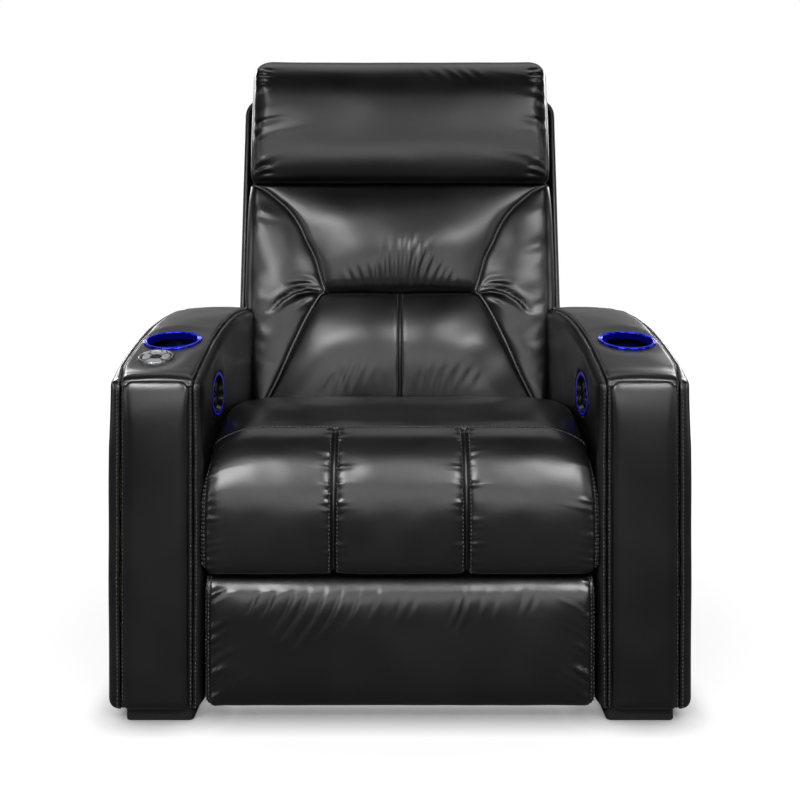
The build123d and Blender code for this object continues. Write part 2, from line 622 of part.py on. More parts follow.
SLAT_FRONT = 84.0
LEG_GEARBOX_FRONT = SLAT_FRONT + 4.0
LEG_GEARBOX_BOTTOM = DRIVE_PIVOT[1] - 40.0


def gear_motor(front, depth, bottom, top, shaft, shaft_radius, can_z, can_side):
    """Gearbox round a shaft along X, with its motor can square to it, ahead (-1) or behind (1)."""
    with BuildPart() as motor:
        with BuildSketch(SIDE.offset(-GEARBOX_WIDTH / 2)) as side:
            with Locations((front + depth / 2, (bottom + top) / 2)):
                Rectangle(depth, top - bottom)
            fillet(side.vertices(), 6.0)
        extrude(amount=GEARBOX_WIDTH)
        start = front + depth / 2
        with Locations(Plane((0, FRONT_Y + start, can_z), x_dir=(1, 0, 0), z_dir=(0, can_side, 0))):
            Cylinder(MOTOR_RADIUS, depth / 2 + MOTOR_LENGTH, align=FROM_BASE)
        fillet(motor.faces().sort_by(Axis.Y)[0 if can_side < 0 else -1].edges(), 4.0)
        rod(shaft, -GEARBOX_WIDTH / 2, GEARBOX_WIDTH / 2, shaft_radius + RUN, Mode.SUBTRACT)
    return motor.part


save(gear_motor(LEG_GEARBOX_FRONT, GEARBOX_DEPTH, LEG_GEARBOX_BOTTOM, SEAT_FRAME_Z,
                DRIVE_PIVOT, TORQUE_TUBE_RADIUS, SEAT_FRAME_Z - MOTOR_RADIUS - 8.0, 1), "legrest_motor")
save(gear_motor(HINGE_DEPTH - GEARBOX_DEPTH / 2, GEARBOX_DEPTH, GEARBOX_BOTTOM, REAR_GEARBOX_TOP,
                (HINGE_DEPTH, HINGE_Z), HINGE_SHAFT, GEARBOX_BOTTOM + MOTOR_RADIUS + 3.0, -1),
     "recline_motor")

with BuildPart() as power_box:
    with Locations((POWER_BOX_X, FRONT_Y + FRONT_TUBE_DEPTH, BOLT_Z + TUBE / 2)):
        Box(POWER_BOX_WIDTH, POWER_BOX_DEPTH, POWER_BOX_HEIGHT, align=FROM_BASE)
    fillet(power_box.edges().filter_by(Axis.Z), 6.0)
    fillet(power_box.faces().sort_by(Axis.Z)[-1].edges(), 2.0)
save(power_box.part, "power_box")


# Legrest linkage -------------------------------------------------------------------------

CARRIER_TAIL = plus(LINK_KNEE, IDLER_OFFSET)
OUTWARD, INWARD = 1, -1


def bar(layer, rounds):
    """Flat link in one layer: the hull of its rounded ends."""
    with BuildPart() as link:
        with BuildSketch(SIDE.offset(layer)):
            for point, radius in rounds:
                with Locations(point):
                    Circle(radius)
            make_hull()
        extrude(amount=PLATE)
    return link.part


def pin(point, layer, way):
    """Riveted pin from one layer through its neighbour, with a head past it."""
    start = layer + PLATE if way == OUTWARD else layer
    neck = start + way * (LAYER_GAP + PLATE + GAP)
    rod(point, start - way * PLATE, neck, PIN_RADIUS)
    rod(point, neck, neck + way * (PIN_HEAD_THICK - GAP), PIN_HEAD)


def eye(point, layer, clearance=RUN):
    rod(point, layer, layer + PLATE, PIN_RADIUS + clearance, Mode.SUBTRACT)


with BuildPart() as legrest_drive:
    add(bar(DRIVE_LAYER, [(DRIVE_PIVOT, HUB_END), (LINK_KNEE, KNEE_END), (LINK_HEEL, LINK_END)]))
    pin(LINK_KNEE, DRIVE_LAYER, INWARD)
    pin(LINK_HEEL, DRIVE_LAYER, OUTWARD)
    mirror(about=Plane.YZ)
    rod(DRIVE_PIVOT, -PLATE_OUT - 2.0, PLATE_OUT + 2.0, TORQUE_TUBE_RADIUS)
    rod(DRIVE_PIVOT, -PLATE_OUT - 2.0, PLATE_OUT + 2.0, TORQUE_TUBE_RADIUS - TUBE_WALL, Mode.SUBTRACT)
save(legrest_drive.part, "legrest_drive")

with BuildPart() as carrier_links:
    add(bar(CARRY_LAYER, [(LEGREST_PIVOT, LINK_END), (LINK_KNEE, KNEE_END), (CARRIER_TAIL, LINK_END)]))
    eye(LINK_KNEE, CARRY_LAYER)
    pin(LEGREST_PIVOT, CARRY_LAYER, OUTWARD)
    pin(CARRIER_TAIL, CARRY_LAYER, OUTWARD)
    mirror(about=Plane.YZ)
save(carrier_links.part, "carrier_links")

with BuildPart() as idler_links:
    add(bar(DRIVE_LAYER, [(IDLER_PIVOT, LINK_END), (CARRIER_TAIL, LINK_END)]))
    eye(IDLER_PIVOT, DRIVE_LAYER)
    eye(CARRIER_TAIL, DRIVE_LAYER)
    mirror(about=Plane.YZ)
save(idler_links.part, "idler_links")

with BuildPart() as toggle_links:
    add(bar(TOGGLE_LAYER, [(LINK_HEEL, LINK_END), (LEGREST_TOGGLE, LINK_END)]))
    eye(LINK_HEEL, TOGGLE_LAYER)
    eye(LEGREST_TOGGLE, TOGGLE_LAYER, LOOSE)
    mirror(about=Plane.YZ)
save(toggle_links.part, "toggle_links")

BOARD_REAR = LEGREST_CUSHION + LEGREST_BOARD
BOARD_BOTTOM, BOARD_TOP = LEGREST_BOTTOM + 10.0, LEGREST_TOP - 7.0
FOOT_BOTTOM = LEGREST_PIVOT[1] - 60.0
with BuildPart() as legrest_brackets:
    with BuildSketch(SIDE.offset(DRIVE_LAYER)):
        for pivot in (LEGREST_PIVOT, LEGREST_TOGGLE):
            with Locations(pivot):
                Circle(LINK_END + 2.0)
        with Locations((BOARD_REAR + FOOT_THICK, (FOOT_BOTTOM + BOARD_TOP) / 2)):
            Rectangle(2 * FOOT_THICK, BOARD_TOP - FOOT_BOTTOM)
        make_hull()
    extrude(amount=PLATE)
    with BuildSketch(FRONT.offset(-BOARD_REAR)):
        with Locations((DRIVE_LAYER - FOOT_INWARD, (FOOT_BOTTOM + BOARD_TOP) / 2)):
            Rectangle(FOOT_STRIP, BOARD_TOP - FOOT_BOTTOM)
    extrude(amount=-FOOT_THICK)
    eye(LEGREST_PIVOT, DRIVE_LAYER)
    pin(LEGREST_TOGGLE, DRIVE_LAYER, OUTWARD)
    with Locations((0, FRONT_Y + BOARD_REAR, 0)):
        Box(4 * PLATE_OUT, 2 * LEGREST_BOARD, TALL, align=(Align.CENTER, Align.MAX, Align.CENTER),
            mode=Mode.SUBTRACT)
    mirror(about=Plane.YZ)
save(legrest_brackets.part, "legrest_brackets")

with BuildPart() as legrest_board:
    with BuildSketch(FRONT.offset(-LEGREST_CUSHION)) as board:
        with Locations((0, (BOARD_BOTTOM + BOARD_TOP) / 2)):
            Rectangle(2 * LEGREST_BOARD_HALF, BOARD_TOP - BOARD_BOTTOM)
        fillet(board.vertices(), 12.0)
    extrude(amount=-LEGREST_BOARD)
save(legrest_board.part, "legrest_board")


# Seat and legrest cushions ----------------------------------------------------------------

def crowned_front(half, bottom, top, rear, low_r, high_r, channels):
    """Upholstered panel facing forward: rounded outline, bulging between its channels."""
    with BuildPart() as pad:
        with BuildSketch(FRONT.offset(-rear)) as face:
            with Locations((0, (bottom + top) / 2)):
                Rectangle(2 * half, top - bottom)
            fillet(face.vertices().group_by(Axis.Y)[0], low_r)
            fillet(face.vertices().group_by(Axis.Y)[-1], high_r)
        extrude(amount=rear + 2 * FRONT_CROWN)
        wide, deep = half + CUT, rear + CUT
        seams = [-wide, *channels, wide]
        lobes = list(zip(seams, seams[1:]))
        with BuildSketch(TOP):
            with BuildLine():
                for start, end in lobes:
                    first = -3.0 if start in channels else 8.0
                    last = -3.0 if end in channels else 8.0
                    ThreePointArc((start, first), ((start + end) / 2, -FRONT_CROWN), (end, last))
                Polyline((wide, 8.0), (wide, deep), (-wide, deep), (-wide, 8.0))
            make_face()
        extrude(amount=TALL, mode=Mode.INTERSECT)
        with BuildSketch(SIDE.offset(-TALL / 2)):
            with BuildLine():
                low, high = bottom - CUT, top + CUT
                ThreePointArc((16.0, low), (-FRONT_CROWN - 2.0, (bottom + top) / 2), (16.0, high))
                Polyline((16.0, high), (deep, high), (deep, low), (16.0, low))
            make_face()
        extrude(amount=TALL, mode=Mode.INTERSECT)
    return pad.part


FRONT_PAD_REAR = SEAT_FRONT_THICK - FRONT_CROWN
save(crowned_front(SEAT_HALF, SEAT_FRONT_BOTTOM, SEAT_SEAM_HEIGHT, FRONT_PAD_REAR, 12.0,
                   SEAT_EDGE_RADIUS, (-SEAT_CHANNEL_X, SEAT_CHANNEL_X)), "seat_front_pad")
save(crowned_front(LEGREST_HALF, LEGREST_BOTTOM, LEGREST_TOP, LEGREST_CUSHION, 12.0, 12.0, ()),
     "legrest_cushion")

CUSHION_BASE = FRAME_TOP + STRAP_THICK + GAP
CUSHION_FRONT = FRONT_PAD_REAR + GAP
with BuildPart() as seat_cushion:
    with BuildSketch(SIDE.offset(-SEAT_HALF)):
        with BuildLine():
            front_top, rear_top = (CUSHION_FRONT, SEAT_SEAM_HEIGHT - 1.0), (SEAT_REAR_DEPTH, SEAT_REAR_HEIGHT)
            ThreePointArc(front_top, (160.0, SEAT_CROWN_HEIGHT), rear_top)
            Polyline(rear_top, (SEAT_REAR_DEPTH, CUSHION_BASE), (CUSHION_FRONT, CUSHION_BASE), front_top)
        make_face()
    extrude(amount=2 * SEAT_HALF)
    with BuildSketch(FRONT.offset(-CUSHION_FRONT)) as section:
        with BuildLine():
            shoulder = SEAT_CROWN_HEIGHT - 26.0
            ThreePointArc((-SEAT_HALF, shoulder), (0, SEAT_CROWN_HEIGHT), (SEAT_HALF, shoulder))
            Polyline((SEAT_HALF, shoulder), (SEAT_HALF, CUSHION_BASE),
                     (-SEAT_HALF, CUSHION_BASE), (-SEAT_HALF, shoulder))
        make_face()
        fillet(section.vertices().group_by(Axis.Y)[-1], SEAT_EDGE_RADIUS)
    extrude(amount=-(SEAT_REAR_DEPTH - CUSHION_FRONT), mode=Mode.INTERSECT)
    # A cushion that is made higher gives way to the side switches.
    switch_space = turned(SWITCH_PLANE, [
        (0, -SWITCH_RECESS), (SWITCH_RADIUS + SWITCH_SPACE, -SWITCH_RECESS),
        (SWITCH_RADIUS + SWITCH_SPACE, SWITCH_BARREL), (0, SWITCH_BARREL)])
    add(switch_space, mode=Mode.SUBTRACT)
    add(mirror(switch_space, about=Plane.YZ), mode=Mode.SUBTRACT)
save(seat_cushion.part, "seat_cushion")

with BuildPart() as seat_frame:
    length = SEAT_REAR_DEPTH - CUSHION_FRONT
    with BuildSketch(TOP.offset(SEAT_FRAME_Z)):
        with Locations((0, (CUSHION_FRONT + SEAT_REAR_DEPTH) / 2)):
            Rectangle(2 * SEAT_FRAME_HALF, length)
            Rectangle(2 * (SEAT_FRAME_HALF - SEAT_RAIL_WIDTH), length - 2 * SEAT_RAIL_WIDTH,
                      mode=Mode.SUBTRACT)
    extrude(amount=SEAT_RAIL_HEIGHT)
    with BuildSketch(TOP.offset(SEAT_FRAME_Z)):
        with Locations((0, SLAT_FRONT + SLAT_DEPTH / 2)):
            Rectangle(2 * SEAT_FRAME_HALF, SLAT_DEPTH)
    extrude(amount=SLAT_THICK)
save(seat_frame.part, "seat_frame")

STRAPS = 7
with BuildPart() as seat_webbing:
    with BuildSketch(TOP.offset(FRAME_TOP)):
        with Locations((0, (CUSHION_FRONT + SEAT_REAR_DEPTH) / 2)):
            with GridLocations(0, (SEAT_REAR_DEPTH - CUSHION_FRONT - STRAP_WIDTH) / STRAPS, 1, STRAPS):
                Rectangle(2 * SEAT_FRAME_HALF, STRAP_WIDTH)
    extrude(amount=STRAP_THICK)
save(seat_webbing.part, "seat_webbing")


# Backrest --------------------------------------------------------------------------------
# In these sketches, back is measured square to the backrest and up along it, from its hinge.

BAR_WIDTH = 25.0
BAR_THICK = 4.0
BAR_UPS = (95.0, 330.0, 560.0)
HINGE_PLATE = 6.0
HINGE_PLATE_X = BACK_TUBE_X + BACK_TUBE - 1.0
BRACKET_THICK = 4.0


def back_plate(x, thick, rounds):
    """Flat plate in the backrest, the hull of its rounded corners given as (back, up)."""
    with BuildPart() as plate:
        with BuildSketch(BACK_SIDE.offset(x)):
            for point, radius in rounds:
                with Locations(point):
                    Circle(radius)
            make_hull()
        extrude(amount=thick)
    return plate.part


def back_rod(point, start, end, radius, mode=Mode.ADD):
    with Locations(BACK_SIDE.offset(start)):
        with Locations(point):
            Cylinder(radius, end - start, align=FROM_BASE, mode=mode)


with BuildPart() as back_frame:
    tube_plane = BACK_FRONT.offset(-BACK_TUBE_SET)
    with BuildLine(tube_plane) as route:
        FilletPolyline((-BACK_TUBE_X, 40), (-BACK_TUBE_X, BACK_FRAME_TOP),
                       (BACK_TUBE_X, BACK_FRAME_TOP), (BACK_TUBE_X, 40), radius=60)
    with BuildSketch(Plane(route.line @ 0, z_dir=route.line % 0)):
        Circle(BACK_TUBE)
        Circle(BACK_TUBE - BACK_TUBE_WALL, mode=Mode.SUBTRACT)
    sweep()
    with BuildSketch(tube_plane.offset(-BAR_THICK / 2)):
        with Locations(*[(0, up) for up in BAR_UPS]):
            Rectangle(2 * (BACK_TUBE_X - BACK_TUBE + 1.0), BAR_WIDTH)
    extrude(amount=BAR_THICK)
    heel, toe = ((BACK_TUBE_SET, 40), 12.0), ((BACK_TUBE_SET, 150), 12.0)
    elbow = ((BACK_TUBE_SET - 6, HEAD_HINGE[1] - 27), 9.0)
    foot = ((BACK_TUBE_SET, BAR_UPS[-1] + 6), 7.0)
    for rounds in ([((0, 0), 22.0), heel], [heel, toe]):
        add(back_plate(HINGE_PLATE_X, HINGE_PLATE, rounds))
        add(back_plate(-HINGE_PLATE_X - HINGE_PLATE, HINGE_PLATE, rounds))
    for rounds in ([(HEAD_HINGE, 9.0), elbow], [elbow, foot]):
        add(back_plate(HEAD_BRACKET_X, BRACKET_THICK, rounds))
        add(back_plate(-HEAD_BRACKET_X - BRACKET_THICK, BRACKET_THICK, rounds))
    back_rod((0, 0), -PLATE_IN, PLATE_IN, HINGE_SHAFT + RUN, Mode.SUBTRACT)
    back_rod(HEAD_HINGE, -PLATE_IN, PLATE_IN, HEAD_ROD + RUN, Mode.SUBTRACT)
save(back_frame.part, "back_frame")

with BuildPart() as recline_shaft:
    back_rod((0, 0), -PLATE_OUT - 2.0, PLATE_OUT + 2.0, HINGE_SHAFT)
save(recline_shaft.part, "recline_shaft")

BACK_STRAPS = 6
with BuildPart() as back_webbing:
    with BuildSketch(BACK_FRONT.offset(-BACK_STRAP_REAR)):
        span = CUSHION_TOP_UP - CUSHION_BOTTOM_UP
        with Locations((0, (CUSHION_TOP_UP + CUSHION_BOTTOM_UP) / 2 + STRAP_WIDTH / 4)):
            with GridLocations(0, span / (BACK_STRAPS + 1), 1, BACK_STRAPS):
                Rectangle(2 * BACK_TUBE_X, STRAP_WIDTH)
    extrude(amount=STRAP_THICK)
save(back_webbing.part, "back_webbing")


def back_pad(outline, side_view, plan_view):
    """Back cushion: its outline, cut to a crowned side view and a crowned plan."""
    with BuildPart() as pad:
        with BuildSketch(BACK_FRONT.offset(-BACK_CUSHION_REAR)):
            add(outline)
        extrude(amount=TALL / 4)
        with BuildSketch(BACK_SIDE.offset(-TALL / 2)):
            add(side_view)
        extrude(amount=TALL, mode=Mode.INTERSECT)
        with BuildSketch(BACK_TOP):
            add(plan_view)
        extrude(amount=TALL, mode=Mode.INTERSECT)
    return pad.part


def bowed(points, rear_points):
    """Face between a chain of arcs, three points each, and a straight rear side."""
    with BuildSketch() as face:
        with BuildLine():
            for start in range(0, len(points) - 2, 2):
                ThreePointArc(*points[start:start + 3])
            Polyline(points[-1], *rear_points, points[0])
        make_face()
    return face.sketch


REAR = BACK_CUSHION_REAR
FOLD = 2.0                      # half the height of the fold between two cushions
lower_outline = bowed(
    [(-WAIST_HALF, WAIST_UP - FOLD), (0, WAIST_UP - FOLD + 1.0), (WAIST_HALF, WAIST_UP - FOLD)],
    [(LOWER_HALF - 6.0, 112.0), (LOWER_HALF, CUSHION_BOTTOM_UP),
     (-LOWER_HALF, CUSHION_BOTTOM_UP), (6.0 - LOWER_HALF, 112.0)])
lower_side = bowed([(-40.0, CUSHION_BOTTOM_UP), (-88.0, 190.0), (-82.0, WAIST_UP)],
                   [(REAR, WAIST_UP), (REAR, CUSHION_BOTTOM_UP)])
lower_plan = bowed([(-LOWER_HALF, -62.0), (-150.0, -96.0), (0, -86.0), (150.0, -96.0), (LOWER_HALF, -62.0)],
                   [(LOWER_HALF, REAR), (-LOWER_HALF, REAR)])
save(back_pad(lower_outline, lower_side, lower_plan), "back_lower_cushion")

SHOULDER = (UPPER_HALF - 6.0, CUSHION_TOP_UP)
SEAM_MID = (213.0, 483.0)       # the curved side seam of the upper cushion passes here
upper_outline = bowed(
    [(WAIST_HALF, WAIST_UP + FOLD), SEAM_MID, SHOULDER, (0, CUSHION_TOP_UP + 1.0),
     (-SHOULDER[0], SHOULDER[1]), (-SEAM_MID[0], SEAM_MID[1]), (-WAIST_HALF, WAIST_UP + FOLD)],
    [])
upper_side = bowed([(-80.0, WAIST_UP), (-122.0, 455.0), (-96.0, CUSHION_TOP_UP + 2.0)],
                   [(REAR, CUSHION_TOP_UP + 2.0), (REAR, WAIST_UP)])
upper_plan = bowed([(-UPPER_HALF, -66.0), (0, -124.0), (UPPER_HALF, -66.0)],
                   [(UPPER_HALF, REAR), (-UPPER_HALF, REAR)])
save(back_pad(upper_outline, upper_side, upper_plan), "back_upper_cushion")

SEAM_GAP = 1.0
bolster_outline = bowed(
    [(WAIST_HALF + SEAM_GAP, WAIST_UP), (SEAM_MID[0] + SEAM_GAP, SEAM_MID[1] - SEAM_GAP),
     (SHOULDER[0] + SEAM_GAP, SHOULDER[1] - 8.0)],
    [(UPPER_HALF, SHOULDER[1] - 8.0), (UPPER_HALF, WAIST_UP - 6.0), (LOWER_HALF, WAIST_UP - 26.0),
     (LOWER_HALF, 112.0), (LOWER_HALF - 6.0 + SEAM_GAP, 114.0)])
bolster_side = bowed([(-44.0, 100.0), (-108.0, 345.0), (-84.0, CUSHION_TOP_UP)],
                     [(REAR, CUSHION_TOP_UP), (REAR, 100.0)])
bolster_plan = bowed([(WAIST_HALF, -104.0), (256.0, -88.0), (UPPER_HALF, -34.0)],
                     [(UPPER_HALF, REAR), (WAIST_HALF, REAR)])
save_pair(back_pad(bolster_outline, bolster_side, bolster_plan), "back_bolster")

# The wings end behind the arms: below the arm tops their front edges stand upright.
WING_STAND = ARM_LENGTH + ARM_TO_WING - HINGE_DEPTH
SHELL_FRONT_LOW = (WING_STAND - SHELL_BOTTOM_UP * BACK_LEAN_SIN) / BACK_LEAN_COS
WING_KNEE_UP = (WING_STAND - WING_FRONT * BACK_LEAN_COS) / BACK_LEAN_SIN


def shell_outline(inset, bottom):
    with BuildSketch() as face:
        low, high = SHELL_HALF_BOTTOM - inset, SHELL_HALF_TOP - inset
        with BuildLine():
            Polyline((-low, bottom), (low, bottom), (high, SHELL_TOP_UP - inset),
                     (-high, SHELL_TOP_UP - inset), close=True)
        make_face()
        fillet(face.vertices().group_by(Axis.Y)[-1], 40.0 - inset)
    return face.sketch


with BuildPart() as back_shell:
    with BuildSketch(BACK_FRONT.offset(-SHELL_REAR - SHELL_CROWN)):
        add(shell_outline(0.0, SHELL_BOTTOM_UP))
    extrude(amount=SHELL_REAR + SHELL_CROWN - WING_FRONT)
    with BuildSketch(BACK_TOP):
        wide = max(SHELL_HALF_BOTTOM, SHELL_HALF_TOP) + CUT
        add(bowed([(wide, SHELL_REAR - SHELL_CROWN), (0, SHELL_REAR + SHELL_CROWN),
                   (-wide, SHELL_REAR - SHELL_CROWN)],
                  [(-wide, WING_FRONT - CUT), (wide, WING_FRONT - CUT)]))
    extrude(amount=TALL, mode=Mode.INTERSECT)
    with BuildSketch(BACK_FRONT.offset(SHELL_WALL - SHELL_REAR + SHELL_CROWN)):
        add(shell_outline(SHELL_WALL, SHELL_BOTTOM_UP - 1.0))
    extrude(amount=TALL / 2, mode=Mode.SUBTRACT)
    with BuildSketch(BACK_FRONT.offset(-HEAD_SLOT_REAR)):
        with Locations((0, (CUSHION_TOP_UP + 20.0 + SHELL_TOP_UP + CUT) / 2)):
            Rectangle(2 * (HEAD_HALF + HEAD_SLOT_SIDE), SHELL_TOP_UP + CUT - CUSHION_TOP_UP - 20.0)
    extrude(amount=HEAD_SLOT_REAR - WING_FRONT + CUT, mode=Mode.SUBTRACT)
    with BuildSketch(BACK_SIDE.offset(-TALL / 2)) as side:
        rear = SHELL_REAR + SHELL_CROWN
        with BuildLine():
            Polyline((rear, SHELL_BOTTOM_UP), (rear, SHELL_TOP_UP), (WING_FRONT, SHELL_TOP_UP),
                     (WING_FRONT, WING_KNEE_UP), (SHELL_FRONT_LOW, SHELL_BOTTOM_UP), close=True)
        make_face()
        fillet(side.vertices().group_by(Axis.Y)[-1], 38.0)
    extrude(amount=TALL, mode=Mode.INTERSECT)
    with BuildSketch(BACK_FRONT.offset(SHELL_WALL - SHELL_REAR + SHELL_CROWN)):
        with Locations((0, (SKIRT_BOTTOM_UP + SHELL_BOTTOM_UP + 10.0) / 2)):
            Rectangle(2 * SKIRT_HALF, SHELL_BOTTOM_UP + 10.0 - SKIRT_BOTTOM_UP)
    extrude(amount=-SHELL_WALL)
save(back_shell.part, "back_shell")


# Head cushion ----------------------------------------------------------------------------

SLOT_LOW_X = HEAD_BRACKET_X - 2.0
SLOT_HIGH_X = HEAD_EAR_X + BRACKET_THICK + 2.0
BOARD_BOTTOM_UP = HEAD_HINGE[1] - 25.0
EAR_TOP_UP = HEAD_HINGE[1] + 25.0
ROD_HALF = 165.0

with BuildPart() as head_frame:
    with BuildSketch(BACK_FRONT.offset(-HEAD_REAR)) as face:
        with Locations((0, (BOARD_BOTTOM_UP + HEAD_TOP_UP - 25.0) / 2)):
            Rectangle(2 * (HEAD_HALF - 30.0), HEAD_TOP_UP - 25.0 - BOARD_BOTTOM_UP)
        fillet(face.vertices(), 20.0)
        for side in (-1, 1):
            with Locations((side * (SLOT_LOW_X + HEAD_EAR_X) / 2, BOARD_BOTTOM_UP)):
                Rectangle(HEAD_EAR_X - SLOT_LOW_X, 2 * (EAR_TOP_UP - BOARD_BOTTOM_UP), mode=Mode.SUBTRACT)
    extrude(amount=-HEAD_BOARD)
    ear_rounds = [(HEAD_HINGE, 9.0), ((HEAD_REAR + 2.0, HEAD_HINGE[1] + 12.0), 9.0)]
    add(back_plate(HEAD_EAR_X, BRACKET_THICK, ear_rounds))
    add(back_plate(-HEAD_EAR_X - BRACKET_THICK, BRACKET_THICK, ear_rounds))
    back_rod(HEAD_HINGE, -ROD_HALF, ROD_HALF, HEAD_ROD)
save(head_frame.part, "head_frame")

with BuildPart() as head_cushion:
    with BuildSketch(BACK_FRONT.offset(-HEAD_REAR + GAP)) as face:
        bottom, top = HEAD_HINGE[1] - HEAD_ROLL - 3.0, HEAD_TOP_UP + 3.0
        with Locations((0, (bottom + top) / 2)):
            Rectangle(2 * HEAD_HALF, top - bottom)
        fillet(face.vertices().group_by(Axis.Y)[-1], 44.0)
        fillet(face.vertices().group_by(Axis.Y)[0], 24.0)
    extrude(amount=TALL / 4)
    roll_front = (HEAD_HINGE[0] - HEAD_ROLL, HEAD_HINGE[1])
    roll_low = (HEAD_HINGE[0], HEAD_HINGE[1] - HEAD_ROLL)
    roll_mid = (HEAD_HINGE[0] - HEAD_ROLL * cos(radians(45)), HEAD_HINGE[1] - HEAD_ROLL * sin(radians(45)))
    with BuildSketch(BACK_SIDE.offset(-TALL / 2)):
        add(bowed([roll_low, roll_mid, roll_front, (-142.0, 735.0), (-118.0, HEAD_TOP_UP - 40.0),
                   (-60.0, HEAD_TOP_UP), (HEAD_REAR, HEAD_TOP_UP - 12.0)], [(HEAD_REAR, roll_low[1] + 3.0)]))
    extrude(amount=TALL, mode=Mode.INTERSECT)
    with BuildSketch(BACK_TOP):
        wide = HEAD_HALF + CUT
        add(bowed([(-wide, -91.0), (0, -143.0), (wide, -91.0)], [(wide, CUT + HEAD_REAR), (-wide, CUT + HEAD_REAR)]))
    extrude(amount=TALL, mode=Mode.INTERSECT)
    for low_x in (SLOT_LOW_X, -SLOT_HIGH_X):
        with BuildSketch(BACK_SIDE.offset(low_x)):
            with BuildLine():
                slot_front = HEAD_HINGE[0] - 11.0
                Polyline((slot_front, EAR_TOP_UP), (TALL, EAR_TOP_UP), (TALL, 0), (slot_front, 0),
                         close=True)
            make_face()
        extrude(amount=SLOT_HIGH_X - SLOT_LOW_X, mode=Mode.SUBTRACT)
    back_rod(HEAD_HINGE, -ROD_HALF - GAP, ROD_HALF + GAP, HEAD_ROD + GAP, Mode.SUBTRACT)
save(head_cushion.part, "head_cushion")
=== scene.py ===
import math

import bmesh
import bpy
import numpy as np
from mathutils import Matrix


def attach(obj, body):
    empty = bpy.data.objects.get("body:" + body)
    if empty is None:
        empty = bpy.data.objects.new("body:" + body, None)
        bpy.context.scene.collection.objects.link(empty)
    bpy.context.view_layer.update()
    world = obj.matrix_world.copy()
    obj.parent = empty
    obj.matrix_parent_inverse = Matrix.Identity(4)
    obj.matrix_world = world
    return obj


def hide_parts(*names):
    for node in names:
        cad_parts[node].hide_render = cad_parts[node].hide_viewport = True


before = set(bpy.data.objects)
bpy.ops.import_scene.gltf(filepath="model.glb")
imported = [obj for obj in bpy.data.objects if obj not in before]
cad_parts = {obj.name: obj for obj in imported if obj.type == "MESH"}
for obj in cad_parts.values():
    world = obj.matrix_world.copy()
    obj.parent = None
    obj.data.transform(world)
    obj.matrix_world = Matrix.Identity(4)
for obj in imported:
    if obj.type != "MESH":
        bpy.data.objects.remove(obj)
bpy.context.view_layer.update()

# ---- The place it is photographed in ----------------------------------------------------------
# The picture was taken level and on the seat's middle, 1.65 m in front of the arms. A vertical lens
# shift puts eye level above the middle row; pixels per unit of slope give the focal length.
FRONT_Y = -448.717                      # mm, the plane of the arm fronts
STAND_OFF, EYE_HEIGHT = 1650.0, 0.767   # mm in front of that plane, and m above the floor
PHOTO_PIXELS, SLOPE_PIXELS, EYE_ROW = 800, 1048, 235
lens = bpy.data.cameras.new("photo_lens")
lens.sensor_width = 36.0
lens.lens = lens.sensor_width * SLOPE_PIXELS / PHOTO_PIXELS
lens.shift_y = EYE_ROW / PHOTO_PIXELS - 0.5
camera = bpy.data.objects.new("camera", lens)
camera.location = (0.0, (FRONT_Y - STAND_OFF) / 1000, EYE_HEIGHT)
camera.rotation_euler = (math.pi / 2, 0.0, 0.0)
bpy.context.scene.collection.objects.link(camera)
bpy.context.scene.camera = camera
bpy.context.scene.view_settings.view_transform = "Standard"


def softbox(name, place, aim, width, height, watts, grid=180.0):
    """Rectangular soft lamp at a place, turned to face a point; a grid narrows its beam."""
    lamp = bpy.data.lights.new(name, "AREA")
    lamp.shape = "RECTANGLE"
    lamp.size, lamp.size_y, lamp.energy = width, height, watts
    lamp.spread = math.radians(grid)
    stand = bpy.data.objects.new(name, lamp)
    way = np.subtract(aim, place)
    across = math.atan2(way[1], way[0]) - math.pi / 2
    up = math.atan2(way[2], math.hypot(way[0], way[1]))
    stand.location = place
    stand.rotation_euler = (math.pi / 2 + up, 0.0, across)
    bpy.context.scene.collection.objects.link(stand)


# Two gridded keys aim low at the seat's front; the left lamps are a little stronger.
for side, word, key_watts, box_watts in ((-1, "left", 14.5, 11), (1, "right", 13, 9)):
    softbox(f"key_{word}", (1.2 * side, -2.9, 2.4), (0.3 * side, -1.0, 0.0), 1.3, 0.8, key_watts, grid=70.0)
    softbox(f"{word}_box", (2.9 * side, -2.2, 1.3), (0.0, -0.2, 0.5), 0.7, 1.8, box_watts)
    softbox(f"{word}_side", (3.4 * side, 0.1, 0.9), (0.0, 0.1, 0.5), 1.6, 1.2, 12)
    softbox(f"rear_{word}", (2.2 * side, 3.0, 1.9), (0.0, 0.4, 0.6), 1.2, 1.2, 32)
softbox("low_front", (0.0, -4.2, 1.1), (0.0, -0.3, 0.5), 3.4, 0.9, 30)
softbox("top_rear", (0.0, 1.0, 3.2), (0.0, 0.1, 0.6), 3.0, 1.4, 14)


def part(tree, kind, inputs=None, **settings):
    """One node: settings by attribute, inputs by socket, as values, another node's output or a whole
    node, which stands for its first output."""
    made = tree.nodes.new(kind)
    for key, value in settings.items():
        setattr(made, key, value)
    for key, value in (inputs or {}).items():
        if isinstance(value, bpy.types.Node):
            value = value.outputs[0]
        if isinstance(value, bpy.types.NodeSocket):
            tree.links.new(value, made.inputs[key])
        else:
            made.inputs[key].default_value = value
    return made


def tone(code):
    """sRGB hex code as linear red, green, blue and a full alpha."""
    values = np.array([int(code[i:i + 2], 16) for i in (1, 3, 5)]) / 255
    linear = np.where(values <= 0.04045, values / 12.92, ((values + 0.055) / 1.055) ** 2.4)
    return (*linear.tolist(), 1.0)


